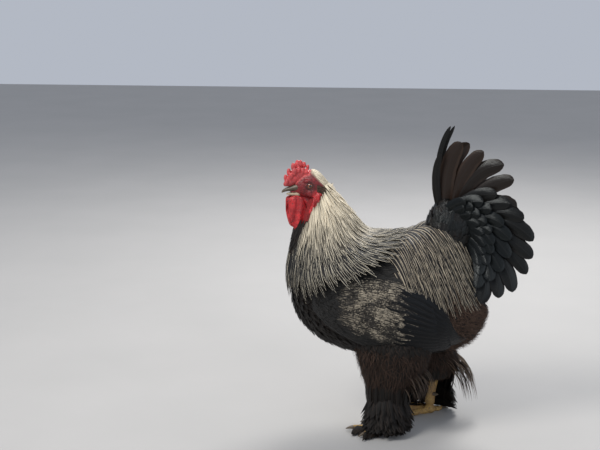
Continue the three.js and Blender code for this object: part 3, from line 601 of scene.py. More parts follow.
# Red skin of the face, comb, wattles and earlobes, and pale skin where feathers cover the head
def redSkinNodes(tree):
    red = node(tree, "Group", node_tree=redGrain)
    zones = node(tree, "Attribute", attribute_name="zones", attribute_type="GEOMETRY")["Color"]
    share = node(tree, "SeparateColor", {0: zones})
    face = blended(1.0, red["Colour"], (0.42, 0.55, 0.62), "MULTIPLY")
    # Over the comb the red goes towards pale pink: partly the comb's brighter red, partly a painted
    # highlight
    crest = blended(0.22, red["Colour"], (0.86, 0.22, 0.22))
    combed = blended(share[2], blended(share[0], face, red["Colour"]), crest)
    return {
        "Base Color": blended(share[1], combed, (0.46, 0.39, 0.28)),
        "Normal": bumped(red["Height"], 0.9, 0.0016),
        "Roughness": 0.38,
        "Subsurface Weight": 0.06,
        "Subsurface Radius": (1.0, 0.25, 0.15),
        "Subsurface Scale": 0.004,
        "Specular IOR Level": 0.55,
    }


# Skin under the feathers, in their colours: pale on the upper neck, dark on the body, and red at the throat
def coveredSkinNodes(tree):
    coords = objectPlace(tree)
    place = coords.axes()
    x, z = place[0], place[2]
    grain = noise(coords, 300.0, 4.0)
    dark = blended(grain, (0.010, 0.008, 0.007), (0.035, 0.028, 0.022))
    pale = blended(grain, (0.12, 0.10, 0.07), (0.26, 0.22, 0.16))
    red = node(tree, "Group", node_tree=redGrain)
    inFront = (z * -0.518 + x).between(-0.480, -0.490)
    onThroat = inFront * (grain * 0.02 + z).between(0.488, 0.500) * z.between(0.585, 0.575)
    darkRed = blended(0.6, red["Colour"], (0.07, 0.008, 0.008))
    return {
        "Base Color": blended(onThroat, blended(z.between(0.47, 0.56), dark, pale), darkRed),
        "Normal": bumped(red["Height"], 0.9, 0.0016),
        "Roughness": 0.85,
    }


# Ochre scales of the shanks and toes
def scaledSkinNodes(tree):
    coords = objectPlace(tree)
    seams = cells(coords, 260.0, "DISTANCE_TO_EDGE").between(0.0, 0.12)
    stains = noise(coords, 45.0, 5.0).between(0.35, 0.7)
    base = blended(stains, (0.50, 0.31, 0.09), (0.33, 0.19, 0.07))
    return {
        "Base Color": blended(seams, (0.16, 0.10, 0.05), base),
        "Normal": bumped(seams, 0.7, 0.0008),
        "Roughness": 0.5,
    }


# Horn of the bill, claws and spurs: dark, and paler towards the cutting edge of the bill
def hornNodes(tree, dark, pale, edgeAt):
    coords = objectPlace(tree)
    grain = noise(node(tree, "Mapping", {"Vector": coords, "Scale": (60.0, 400.0, 400.0)})[0], 1.0, 4.0)
    above = (grain * 0.004 + coords.axes()[2]).between(*edgeAt)
    return {
        "Base Color": blended(above, pale, blended(grain * 0.5, dark, pale)),
        "Normal": bumped(grain, 0.35, 0.0005),
        "Roughness": 0.38,
    }


# The eye: dark pupil, orange-brown iris with fine rays, dark rim, under a wet gloss
def wetEyeNodes(tree):
    place = node(tree, "UVMap", uv_map="irisMap")[0].axes()
    x, z = place[0] - 0.5, place[1] - 0.5
    out = (x * x + z * z).maths("SQRT")
    turned = node(tree, "CombineXYZ", {0: z.maths("ARCTAN2", x), 1: out})[0]
    rays = node(tree, "TexNoise", {"Vector": turned, "Scale": 9.0, "Detail": 3.0}, noise_dimensions="2D")[0]
    iris = blended(rays, (0.09, 0.018, 0.006), (0.30, 0.075, 0.018))
    rimmed = blended(out.between(0.33, 0.42), iris, (0.03, 0.015, 0.01))
    return {
        "Base Color": blended(out.between(0.18, 0.21), (0.004, 0.004, 0.004), rimmed),
        "Roughness": 0.08,
        "Coat Weight": 1.0,
        "Coat Roughness": 0.03,
    }


redSkin = newMaterial("redSkin", redSkinNodes)
coveredSkin = newMaterial("coveredSkin", coveredSkinNodes)
scaledSkin = newMaterial("scaledSkin", scaledSkinNodes)
print("skin materials made")

# Body under the feathers, inside their outline by the coat's depth
bodyPieces = [
    shapedBall("torsoSkin", torsoForm.inset(bird["coatDepth"]), 64, 56),
    shapedBall("neckSkin", neckForm.inset(3), 48, 40),
    shapedBall("rumpSkin", rumpForm.inset(5), 40, 30),
]
for name, side, foot in sides:
    bodyPieces.append(shapedBall("thighSkin", thighForm(side, foot).inset(9), 40, 36))
bodySkin = withMaterial(melted("bodySkin", bodyPieces, 4.5, 6), coveredSkin)
print("body skin", len(bodySkin.data.vertices))

# Shanks and feet with their scutes, soles flat at the floor
toes = {  # degrees outwards from straight ahead, length, radius at the root
    "inner": (-34, 56, 8.5),
    "middle": (2, 76, 9),
    "outer": (38, 60, 8.5),
    "hind": (158, 34, 7),
}
toeHeight = 7.0
toeSwell = [1, 1.06, 1.12, 0.94, 0.82, 0.98, 1.02, 0.86, 0.7]
soleHeight = 0.0002  # metres


def toeAhead(side, turn):
    heading = math.pi - side * math.radians(turn)
    return np.array([math.cos(heading), math.sin(heading), 0.0])


def ankleOf(side, foot):
    return np.array([foot, side * stance, toeHeight])


legPieces = []
for name, side, foot in sides:
    shank = shankForm(side, foot)
    ankle = ankleOf(side, foot)
    legPieces.append(shapedBall("shankSkin", shank.point, 28, 40))
    legPieces.append(bead("palm", (foot + 1, side * stance, 10), (15, 14, 12)))
    for share in np.linspace(0.28, 0.8, 11):
        inFront = shank.lifted(share, 0.0, -2.6)
        legPieces.append(bead("scute", inFront, (4.4, 7.4, 3.6), segments=12, rings=8))
    for turn, length, radius in toes.values():
        ahead = toeAhead(side, turn)
        steps = np.linspace(0, 1, len(toeSwell))
        radii = radius * (np.array(toeSwell) * mix(1, 0.84, steps))
        legPieces.append(limb("toe", ankle + steps[:, None] * length * ahead, radii, 18, 36))
        for share in np.linspace(0.22, 0.96, int(length / 6.5)):
            top = ankle + ahead * length * share + np.array([0, 0, radius * mix(0.84, 0.62, share)])
            legPieces.append(bead("toeScute", top, (3.6, 3.6, 2.0), segments=10, rings=6))
legSkin = withMaterial(melted("legSkin", legPieces, 1.5, 2), scaledSkin)
edited(legSkin, bpy.ops.mesh.bisect, plane_co=(0, 0, soleHeight), plane_no=(0, 0, 1), use_fill=True,
       clear_inner=True)
print("leg skin", len(legSkin.data.vertices))

# Head: skull, brows, cheeks, lids, comb, wattles and earlobes melted into one red skin
comb = {
    "rows": [  # sideways place, first and last foot (x, z), height of the crown, how many peas
        (0.0, (-60, 13), (-6, 39), 28, 7),
        (8.6, (-57, 8), (-9, 32), 20, 6),
        (-8.6, (-57, 8), (-9, 32), 20, 6),
    ],
    "peaSize": (4.9, 4.6, 8.6),
    "seed": 5,
}
combBase = Form([
    [-65, 2, -64, -2, 2],
    [-61, 9, -59, -4, 7],
    [-49, 26, -44, -2, 9.5],
    [-33, 36, -30, 8, 10],
    [-17, 39, -15, 18, 9.5],
    [-4, 34, -5, 22, 6],
    [2, 32, 2, 28, 1],
], place=fromHead)
lids = {"ring": (8.5, 6.9), "outwards": 5.0, "beads": 24, "size": (2.0, 1.8, 1.7)}


# Where feathers cover the head, from 0 to 1: the crown behind the comb and the nape
def underFeathers(local):
    x, z = local[..., 0], local[..., 2]
    onCrown = np.clip((x + z - 26) / 8, 0, 1)
    onNape = np.clip((x - 25) / 6, 0, 1)
    return np.maximum(onCrown, onNape)


wattleSwing = {-1: 0.0, 1: -9.0}  # the right one hangs further forward


def wattleForm(side):
    def pleated(p, s):
        pleat = 1.7 * np.sin((p[..., 0] + 30) * 0.34 + 1.2 * np.sin(p[..., 2] * 0.05))
        pleat = pleat * np.sin(np.pi * np.clip(s, 0, 1)) ** 0.8
        swing = wattleSwing[side] * np.clip(2 * s, 0, 1)
        return p + np.stack([swing + 0 * pleat, pleat * side, -0.4 * swing + 0 * pleat], -1)
    return Form([
        [-42, -24, -34, -23, 1, 9],
        [-54, -32, -20, -29, 4.6, 10.5],
        [-53, -48, -13, -45, 4.4, 12],
        [-50, -67, -11, -64, 4.2, 13.5],
        [-46, -87, -11, -84, 4.8, 14],
        [-40, -103, -16, -101, 4.4, 14],
        [-29, -110, -26, -110, 1, 14],
    ], side=side, shape=pleated, place=fromHead)


def lobeForm(side):
    def pleated(p, s):
        pleat = 1.6 * np.sin(p[..., 0] * 0.46) * np.sin(np.pi * np.clip(s, 0, 1))
        return p + np.stack([0 * pleat, pleat * side, 0 * pleat], -1)
    return Form([
        [16, -12, 20, -12, 1, 20],
        [7, -20, 29, -17, 4.4, 22],
        [2, -34, 27, -30, 4.6, 24],
        [-3, -48, 19, -45, 4.4, 25.5],
        [-7, -62, 9, -60, 3.8, 26.5],
        [-6, -72, -1, -72, 1, 27],
    ], side=side, shape=pleated, place=fromHead)


headPieces = [
    shapedBall("skull", skullForm.point, 48, 40),
    shapedBall("dewlap", dewlapForm.point, 32, 28),
    bead("mouth", (-39, 0, -15.5), (11, 7.5, 3), fromHead),
    shapedBall("combBase", combBase.point, 32, 28),
]
ringS, ringAngle = np.meshgrid(np.linspace(0.02, 0.98, 40), np.linspace(0, 345, 24))
flushed = [form.point(ringS, ringAngle).reshape(-1, 3)
           for side in (-1, 1) for form in (wattleForm(side), lobeForm(side))]
combed = [combBase.point(ringS, ringAngle).reshape(-1, 3)]
combDraw = np.random.default_rng(comb["seed"])
for y, start, end, crest, count in comb["rows"]:
    for share in np.arange(count) / (count - 1):
        arch = math.sin(math.pi * (0.12 + 0.8 * share))
        x, z = mix(np.array(start), np.array(end), share)
        centre = np.array([x, y, z + crest * arch - 5.5])
        size = np.array(comb["peaSize"]) * mix(0.72, 1.08, arch) * combDraw.uniform(0.85, 1.15)
        centre = centre + combDraw.uniform(-1.5, 1.5, 3) * np.array([1, 1, 1.4])
        headPieces.append(bead("pea", centre, size, fromHead))
        combed.append(fromHead(centre + size * unit(combDraw.normal(0, 1, (60, 3)))))
for name, side, foot in sides:
    headPieces.append(shapedBall("wattle", wattleForm(side).point, 56, 44))
    headPieces.append(shapedBall("earlobe", lobeForm(side).point, 44, 36))
    headPieces.append(bead("brow", (-4, side * 17.5, 11), (15, 5, 5), fromHead))
    headPieces.append(bead("cheek", (4, side * 17, -16), (17, 7, 12), fromHead))
    for turn in np.linspace(0, 2 * math.pi, lids["beads"] + 1)[:-1]:
        c, s = np.cos(turn), np.sin(turn)
        x, y, z = eyePoint(side, lids["outwards"])
        onLid = np.array([x + lids["ring"][0] * c, y - side * 1.2 * c**2, z + lids["ring"][1] * s])
        headPieces.append(bead("lid", onLid, lids["size"], fromHead, segments=10, rings=8))
headSkin = melted("headSkin", headPieces, 1.15, 2)

# Sockets for the eyes
for name, side, foot in sides:
    socket = bead("socket", eyePoint(side), (bird["eyeRadius"] + 0.15,) * 3, fromHead, 40, 28)
    modified(headSkin, "BOOLEAN", operation="DIFFERENCE", object=socket)
    bpy.data.objects.remove(socket, do_unlink=True)
withMaterial(headSkin, redSkin)

# Zones of the head's skin as a colour: red for wattles and lobes, green under feathers, blue for the comb
points = gathered(headSkin.data.vertices, "co", 3) * 1000 - shift
zones = np.ones((len(points), 4))
for channel, places in ((0, np.concatenate(flushed)), (2, np.concatenate(combed))):
    tree = KDTree(len(places))
    for i, place in enumerate(places):
        tree.insert(place, i)
    tree.balance()
    away = np.array([tree.find(point)[2] for point in points])
    zones[:, channel] = 1 - np.clip((away - 2.5) / 4.5, 0, 1)
zones[:, 1] = underFeathers(intoHead(points)) * (1 - zones[:, 2])
headSkin.data.attributes.new("zones", "FLOAT_COLOR", "POINT").data.foreach_set("color", zones.ravel())
print("head skin", len(headSkin.data.vertices))

skin = joined("cockSkin", [headSkin, bodySkin, legSkin])
bpy.ops.object.shade_smooth()
edited(skin, bpy.ops.uv.smart_project, angle_limit=math.radians(66), island_margin=0.002)
skin.data.uv_layers[0].name = "OFBake"
finished(skin, "red_skin", "torso", "neck", "head", "comb", "wattle_left", "wattle_right",
         "earlobe_left", "earlobe_right", "thigh_left", "thigh_right", "shank_left", "shank_right",
         "foot_left", "foot_right")
print("skin unwrapped")

# The skin's unwrap at the place nearest to each feather's root
skin.data.calc_loop_triangles()
triangles = skin.data.loop_triangles
skinUv = gathered(skin.data.uv_layers["OFBake"].data, "uv", 2)
middleUv = skinUv[gathered(triangles, "loops", 3, int)].mean(1)
skinTree = BVHTree.FromPolygons([Vector(p) for p in gathered(skin.data.vertices, "co", 3)],
                                gathered(triangles, "vertices", 3, int).tolist())


def unwrapAt(roots):
    return middleUv[[skinTree.find_nearest(Vector(root))[2] for root in roots]]


# How wide a feather is along its length, as a share of its widest
widths = {
    "hackle": ([0, 0.22, 0.5, 0.75, 0.92, 1], [0.4, 0.95, 1.0, 0.72, 0.34, 0.04]),
    "contour": ([0, 0.3, 0.65, 0.85, 1], [0.45, 0.95, 1.0, 0.8, 0.15]),
    "broad": ([0, 0.2, 0.5, 0.8, 0.9, 0.95, 0.98, 1], [0.3, 0.8, 1.0, 0.99, 0.9, 0.75, 0.5, 0.08]),
    "strand": ([0, 0.4, 1], [1.0, 0.8, 0.1]),
}


# Steps from root to tip. Long feathers have more of them near their round tip.
def stepsTo(rings):
    steps = np.linspace(0, 1, rings)
    return steps if rings < 12 else 1 - (1 - steps) ** 1.35


# Many feathers as one mesh. spine and lie are the points of the shafts and the outward normals there, with
# one row per feather. half is the widest half width of each, and tone picks its colours.
def plumes(name, material, spine, lie, half, kind, tone, camber=0.22, across=2, tilt=0.0, rag=0.06):
    count, rings = spine.shape[:2]
    columns = across + 1
    grid = (count, rings, columns)
    f = stepsTo(rings)
    ahead = unit(np.gradient(spine, axis=1))
    sideways = unit(np.cross(ahead, np.broadcast_to(lie, spine.shape)))
    outward = np.cross(sideways, ahead)
    tilted = np.radians(np.broadcast_to(np.asarray(tilt, float), (count,)))[:, None, None]
    sideways, outward = (sideways * np.cos(tilted) - outward * np.sin(tilted),
                         outward * np.cos(tilted) + sideways * np.sin(tilted))
    width = (np.asarray(half, float)[:, None] * np.interp(f, *widths[kind]))[..., None]
    u = np.linspace(-1, 1, columns)
    spread = width * u * (1 + rag * rng.uniform(-1, 1, grid))
    sunk = width * camber * np.abs(u) ** 1.6
    points = (spine[:, :, None] + sideways[:, :, None] * spread[..., None]
              - outward[:, :, None] * sunk[..., None])
    points = (points.reshape(-1, 3) + shift) / 1000

    corner = np.arange(count * rings * columns).reshape(grid)
    quads = np.stack([corner[:, :-1, :-1], corner[:, :-1, 1:], corner[:, 1:, 1:], corner[:, 1:, :-1]], -1)
    quads = quads.reshape(-1, 4)
    mesh = bpy.data.meshes.new(name)
    mesh.from_pydata(points.tolist(), [], quads.tolist())
    mesh.polygons.foreach_set("use_smooth", np.ones(len(quads), bool))
    loops = quads.ravel()
    featherUv = np.stack([np.broadcast_to(share, grid).ravel() for share in ((u + 1) / 2, f[:, None])], -1)
    bakeUv = np.repeat(unwrapAt((spine[:, 0] + shift) / 1000), rings * columns, axis=0)
    for layer, uv in (("featherMap", featherUv), ("OFBake", bakeUv + (featherUv - 0.5) * 0.003)):
        mesh.uv_layers.new(name=layer).data.foreach_set("uv", uv[loops].ravel())
    shade = rng.uniform(0, 1, count)
    vary = np.stack([rng.uniform(0, 1, count), np.broadcast_to(tone, (count,)), shade, np.ones(count)], -1)
    attribute = mesh.attributes.new("vary", "FLOAT_COLOR", "POINT")
    attribute.data.foreach_set("color", np.repeat(vary, rings * columns, axis=0).ravel())
    mesh.materials.append(feathers[material])
    print(name, count, "feathers", len(quads) * 2, "triangles")
    return placed(name, mesh)


# Roots in rows over a form, as (s, angle) pairs. "rows" of the values are the first and last s, "gap" is the
# space between rows and "spacing" the space along them, each at the first and the last row.
def rootRows(form, values):
    start, end = values["rows"]
    ring = np.linspace(0, 360, 73)
    places = []
    s = start
    row = 0
    while s < end:
        loop = form.point(s, ring)
        reach = np.concatenate([[0], np.cumsum(np.linalg.norm(np.diff(loop, axis=0), axis=1))])
        speed = np.linalg.norm(form.point(s + 0.01, ring) - loop, axis=1).mean() / 0.01
        share = (s - start) / (end - start)
        here = mix(*values["gap"], share) / speed
        count = max(8, int(reach[-1] / mix(*values["spacing"], share)))
        at = (np.arange(count) + 0.5 * (row % 2) + rng.uniform(-0.35, 0.35, count)) / count
        angle = np.interp((at % 1) * reach[-1], reach, ring)
        places.append(np.stack([s + rng.uniform(-0.35, 0.35, count) * here, angle], -1))
        s += here
        row += 1
    return np.concatenate(places)


# Shafts that follow a form from their roots for a given length, turning and rising on the way
def follow(form, places, length, turn, lift, rings, sag=0.0):
    s, angle = places[:, :1], places[:, 1:]
    f = np.linspace(0, 1, rings)[None]
    run = length / 250
    for attempt in range(3):
        path = form.extended(s + run[:, None] * f, angle + turn[:, None] * f)
        reached = np.linalg.norm(np.diff(path, axis=1), axis=-1).sum(1)
        run = run * np.clip(length / np.maximum(reached, 1e-6), 0.4, 2.5)
    along = s + run[:, None] * f
    turned = angle + turn[:, None] * f**1.3
    lie = form.normal(along, turned)
    spine = form.extended(along, turned) + lie * mix(lift[0], lift[1][:, None], f**0.75)[..., None]
    spine[..., 2] -= sag * f[0] ** 2
    return spine, lie


# Values of a tract: lengths and halves are bounds of random factors, rises and tones those of random
# amounts, root is the depth of the roots, and turn the spread of the shafts in degrees.
plainTract = {"lengths": (0.85, 1.15), "turn": 1.5, "root": -4.0, "rise": 0.0, "rises": (-2, 2),
              "halves": (0.85, 1.15), "tone": 0.0, "kind": "contour", "rings": 5, "sag": 0.0, "shape": {}}


# A tract of feathers that follow a form
def tract(name, material, slotName, cadNode, form, places, values, **changed):
    v = {**plainTract, **values, **changed}
    count = len(places)
    spine, lie = follow(form, places, v["length"] * rng.uniform(*v["lengths"], count),
                        rng.normal(0, v["turn"], count),
                        (v["root"], v["rise"] + rng.uniform(*v["rises"], count)), v["rings"], v["sag"])
    half = v["half"] * rng.uniform(*v["halves"], count)
    tone = np.clip(v["tone"] + rng.uniform(*v["tones"], count), 0, 1)
    finished(plumes(name, material, spine, lie, half, v["kind"], tone, **v["shape"]), slotName, cadNode)


# Free feathers from root to tip, each bent towards a third point
def bentTract(name, material, values, root, bend, tip, lie, slotName, *cadNodes):
    f = np.linspace(0, 1, values["rings"])[None, :, None]
    spine = (1 - f) ** 2 * root[:, None] + 2 * f * (1 - f) * bend[:, None] + f**2 * tip[:, None]
    half = values["half"] * rng.uniform(*values["halves"], len(root))
    tone = rng.uniform(*values["tones"], len(root))
    piece = plumes(name, material, spine, lie, half, values["kind"], tone, camber=values["camber"])
    finished(piece, slotName, *cadNodes)


# Cape: long pointed hackles from the nape down over the shoulders, clear of the face and the wattles
cape = {
    "rows": (0.0, 0.66), "gap": (7.0, 13.0), "spacing": (3.2, 7.0), "length": (22, 122), "half": (2.2, 5.3),
    "lengths": (0.86, 1.14), "turn": 1.2, "root": -1.0, "rise": 6.5, "halves": (0.85, 1.1),
    "tones": (-0.1389, 0.1389), "kind": "hackle", "rings": 8, "shape": {"camber": 0.4, "rag": 0.03},
}
frontEdge = {"z": (440, 453, 509, 535, 571, 600), "x": (-300, -266, -231, -219, -194, -192)}


# How far behind the cape's front edge a point lies
def behindFront(points):
    return points[:, 0] - np.interp(points[:, 2], frontEdge["z"], frontEdge["x"])


places = rootRows(capeForm, cape)
places = places[behindFront(capeForm.point(places[:, 0], places[:, 1])) > 0]
down = np.clip(places[:, 0], 0, 1)
tract("capeHackles", "hackle", "plumage_hackle", "neck", capeForm, places, cape,
      length=mix(*cape["length"], down**0.75), half=mix(*cape["half"], down), tone=(down - 0.1) / 0.36)

# Throat: short black feathers below the wattles, where the cape leaves the front of the neck open
throat = {
    "rows": (0.2, 0.62), "gap": (7.0, 7.0), "spacing": (4.5, 6.0), "top": 506, "length": 34, "half": 3.6,
    "root": -3.5, "rises": (0.5, 3), "tones": (0.2, 1), "shape": {"camber": 0.35},
}
places = rootRows(capeForm, throat)
rootAt = capeForm.point(places[:, 0], places[:, 1])
places = places[(behindFront(rootAt) < 8) & (rootAt[:, 2] < throat["top"])]
tract("throatFeathers", "body", "plumage_hackle", "neck", capeForm, places, throat)

# Crown and nape: small feathers on the back of the skull, and a dark tuft over each ear
crown = {
    "rows": (0.3, 0.97), "gap": (2.4, 2.4), "spacing": (2.2, 2.2), "lowest": -34, "length": (9.0, 27.0),
    "half": 1.5, "lengths": (0.8, 1.2), "turn": 3, "root": -0.5, "rises": (1.0, 2.2), "halves": (0.8, 1.2),
    "tones": (0, 0.3), "kind": "hackle", "rings": 6, "sag": 3.0, "shape": {"camber": 0.4},
}
places = rootRows(skullForm, crown)
rootAt = intoHead(skullForm.point(places[:, 0], places[:, 1]))
covered = underFeathers(rootAt) > rng.uniform(0.3, 0.7, len(places))
places = places[covered & (rootAt[:, 2] > crown["lowest"])]
back = np.clip((places[:, 0] - crown["rows"][0]) / 0.3, 0, 1)
tract("crownFeathers", "hackle", "plumage_hackle", "neck", skullForm, places, crown,
      length=mix(*crown["length"], back), rise=back)
earTuft = {"count": 220, "half": (0.6, 1.1), "length": (9, 14)}
for name, side, foot in sides:
    count = earTuft["count"]
    x, z = rng.uniform(-1, 1, (count, 2)).T
    root = np.stack([17 + 7 * x, np.full(count, side * 22.0), -7 + 8 * z - 3 * x], -1)
    tip = root + np.stack([rng.uniform(*earTuft["length"], count), side * rng.uniform(0.5, 3, count),
                           rng.uniform(-7, -1, count)], -1)
    f = np.linspace(0, 1, 4)[None, :, None]
    spine = fromHead(mix(root[:, None], tip[:, None], f) + np.array([0, side * 2.5, 0]) * np.sin(np.pi * f))
    lie = fromHead((0, side, 0)) - fromHead((0, 0, 0))
    tuft = plumes("earTuft_" + name, "fluff", spine, lie, rng.uniform(*earTuft["half"], count), "strand",
                  rng.uniform(0.3, 1, count), across=1)
    finished(tuft, "plumage_hackle", "neck")

# Body: rounded contour feathers from the breast to the rear
body = {"rows": (0.015, 0.93), "gap": (8.0, 8.0), "spacing": (7.5, 8.5), "length": 30.0, "half": 6.4,
        "rise": 4.0, "tones": (0, 0.5)}
tract("bodyContour", "body", "plumage_dark", "torso", torsoForm, rootRows(torsoForm, body), body)

# Wings
wing = {
    "edge": [  # x, and the angles of the upper and lower edge round the torso
        [-214, 86, 98], [-190, 76, 108], [-150, 67, 118], [-95, 61, 127],
        [-35, 64, 134], [30, 78, 139], [85, 100, 142], [122, 124, 140]],
    "depth": [2, 6, 10, 13, 14, 12, 9, 4],
    "length": 336,
    "bowRows": 37, "bowPerRow": 31, "bowLength": 40.0, "bowHalf": 4.2,
    "flights": 13, "flightHalf": 10.5,
    "bars": 12, "barHalf": 9.0,
}


# A point of the wing: u runs from the shoulder to the tip, v from the upper edge to the lower one
def onWing(side, u, v, lift):
    x, top, bottom = np.moveaxis(alongRows(wing["edge"], u), -1, 0)
    s = torsoForm.atX(x + 340 * (u - np.clip(u, 0, 1)))
    angle = -side * mix(top, bottom, v)
    thick = alongRows(np.array(wing["depth"], float)[:, None], u)[..., 0]
    thick = thick * np.sin(np.pi * np.clip(mix(0.06, 0.94, v), 0.01, 0.99)) ** 0.55
    return torsoForm.lifted(s, angle, thick + lift), torsoForm.normal(s, angle)


for name, side, foot in sides:
    f = np.linspace(0, 1, 6)[None]
    count = wing["bowRows"] * wing["bowPerRow"]
    row, column = np.divmod(np.arange(count), wing["bowPerRow"])
    u0 = mix(-0.02, 0.66, row / (wing["bowRows"] - 1)) + rng.uniform(-0.012, 0.012, count)
    v0 = mix(-0.26, 1.0, (column + 0.5 * (row % 2) + rng.uniform(-0.3, 0.3, count)) / wing["bowPerRow"])
    run = wing["bowLength"] / wing["length"] * rng.uniform(0.85, 1.2, count)
    spine, lie = onWing(side, u0[:, None] + run[:, None] * f, mix(v0[:, None], 0.5, 0.04 * f),
                        mix(-1.0, 5.0 + rng.uniform(-1, 1.5, count)[:, None], f**0.8))
    half = wing["bowHalf"] * rng.uniform(0.8, 1.15, count)
    darkEdges = sum(np.clip(by, 0, 1) for by in ((0.28 - u0) / 0.12, (v0 - 0.74) / 0.1, (0.02 - v0) / 0.06))
    tone = np.clip(rng.uniform(0, 0.35, count) + darkEdges, 0, 1)
    piece = plumes("wingBow_" + name, "bow", spine, lie, half, "contour", tone)
    finished(piece, "plumage_wing", "wing_" + name)

    f = stepsTo(14)[None]
    flights, bars = wing["flights"], wing["bars"]
    share = np.linspace(0, 1, flights)
    u0, u1 = mix(0.5, 0.54, share), mix(0.88, 1.04, share)
    v0, v1 = mix(0.06, 0.88, share), mix(0.04, 0.78, share)
    flight = onWing(side, mix(u0[:, None], u1[:, None], f), mix(v0[:, None], v1[:, None], f),
                    mix(0.5, 6.5 - 3.0 * share[:, None], f**0.7))
    barShare = np.tile(np.linspace(0, 1, bars), 2)
    row = np.repeat([0, 1], bars)
    u0 = mix(0.60, 0.54, row) + rng.uniform(-0.01, 0.01, 2 * bars)
    u1 = mix(0.86, 0.79, row) + 0.04 * barShare + rng.uniform(-0.01, 0.01, 2 * bars)
    v0 = mix(0.08, 0.92, barShare)
    bar = onWing(side, mix(u0[:, None], u1[:, None], f), v0[:, None] + 0 * f,
                 mix(1.0, 7.5 + row[:, None], f**0.7))
    half = np.repeat([wing["flightHalf"], wing["barHalf"]], [flights, 2 * bars])
    tone = np.concatenate([rng.uniform(0, 0.6, flights), rng.uniform(0, 0.3, 2 * bars)])
    spine, lie = (np.concatenate(both) for both in zip(flight, bar))
    piece = plumes("wingFlight_" + name, "wingBar", spine, lie, half, "broad", tone, across=6,
                   tilt=side * 12.0)
    finished(piece, "plumage_wing", "wing_" + name)

# Saddle: hackles from the ridge of the back, curving back and then down over the flanks
saddle = {"rows": 9, "perRow": 28, "x": (-68, 96), "angle": (-5, 54), "sweep": (60, 42), "run": 75,
          "half": 4.5, "rise": (17.0, 9.0)}
for name, side, foot in sides:
    count = saddle["rows"] * saddle["perRow"]
    row, column = np.divmod(np.arange(count), saddle["perRow"])
    share = (column + 0.5 * (row % 2) + rng.uniform(-0.14, 0.14, count)) / saddle["perRow"]
    x0 = mix(*saddle["x"], share)
    a0 = mix(*saddle["angle"], row / (saddle["rows"] - 1)) + rng.uniform(-2.2, 2.2, count)
    f = np.linspace(0, 1, 10)[None]
    x = x0[:, None] + saddle["run"] * rng.uniform(0.94, 1.06, count)[:, None] * (1 - (1 - f) ** 1.3)
    sweep = mix(*saddle["sweep"], np.clip(share, 0, 1)) * rng.uniform(0.92, 1.06, count)
    angle = -side * (a0[:, None] + sweep[:, None] * f**1.35)
    s = torsoForm.atX(x)
    rise = mix(*saddle["rise"], (a0 + 5) / 61) + rng.uniform(-1.5, 1.5, count)
    spine = torsoForm.lifted(s, angle, mix(-2.0, rise[:, None], f**0.6))
    piece = plumes("saddleHackles_" + name, "saddle", spine, torsoForm.normal(s, angle),
                   saddle["half"] * rng.uniform(0.85, 1.15, count), "hackle", rng.uniform(0, 1, count),
                   camber=0.4, rag=0.03)
    finished(piece, "plumage_hackle", "torso")

# Tail
fan = {"centre": (95.0, 472.0), "splay": (66, 7)}
tailTiers = [  # kind, half width, bend, lift at root and tip, brownness (painted backlight), tips as (angle, reach)
    ("sickle", 5.5, 14, (0, 7), 0.1, [(93, 256)]),
    ("sickle", 8, 12, (2, 9), 0.2, [(99, 194)]),
    ("main", 19, 12, (1, 2), 0.9, [(87, 220), (72, 212)]),
    ("main", 20, 20, (1, 2), 0.4, [(60, 209), (46, 199), (30, 170)]),
    ("covert", 18, 30, (6, 13), 0.1, [(49, 150), (32, 162), (17, 178), (6, 192), (-9, 195), (-23, 195),
                                      (-36, 190), (-47, 178), (-58, 168), (-68, 150)]),
    ("covert", 17, 34, (12, 26), 0.0, [(52, 118), (38, 122), (21, 132), (3, 144), (-14, 148), (-30, 145),
                                       (-43, 140), (-56, 134)]),
    ("covert", 14, 36, (16, 34), 0.0, [(68, 98), (54, 96), (40, 94), (26, 98), (12, 104), (-2, 108),
                                       (-16, 110), (-30, 112), (-44, 114)]),
    ("covert", 13, 36, (20, 34), 0.0, [(66, 84), (48, 80), (30, 82), (12, 86), (-6, 90), (-24, 94),
                                       (-40, 98)]),
]


def fanPoint(side, angle, reach):
    splay = mix(*fan["splay"], np.clip((angle + 52) / 140, 0, 1))
    return np.stack([fan["centre"][0] + reach * np.cos(np.radians(angle)), side * (4 + splay * reach / 190),
                     fan["centre"][1] + reach * np.sin(np.radians(angle))], -1)


for name, side, foot in sides:
    spines, lies, halves, tones, tilts = [], [], [], [], []
    f = stepsTo(22)
    for kind, half, bend, lift, tone, tips in tailTiers:
        for tipAngle, tipReach in tips:
            if side > 0:  # the far half of the fan stands a little further back
                tipAngle, tipReach = tipAngle - 2.5, tipReach - 5
            tipAngle += rng.uniform(-2, 2) * (kind != "sickle" and half < 20)
            droop = 5 if kind == "sickle" else rng.uniform(3, 11)
            angle = tipAngle + bend * (1 - f) ** 1.1 + droop * (0.5 - f**4)
            reach = mix(24.0, tipReach, f)
            outwards = fanPoint(side, angle, reach + 1) - fanPoint(side, angle, reach - 1)
            around = fanPoint(side, angle + 1, reach) - fanPoint(side, angle - 1, reach)
            normal = unit(np.cross(outwards, around))
            normal = normal * np.sign(normal[:, 1:2] * side)
            spines.append(fanPoint(side, angle, reach) + normal * mix(*lift, f)[:, None])
            lies.append(normal)
            halves.append(half * rng.uniform(0.9, 1.06))
            tones.append(tone)
            tilts.append(side * rng.uniform(3.0, 12.0))
    piece = plumes("tailFeathers_" + name, "tail", np.array(spines), np.array(lies), halves, "broad",
                   np.array(tones), across=10, tilt=tilts, camber=0.25, rag=0.025)
    finished(piece, "plumage_tail", "tail")

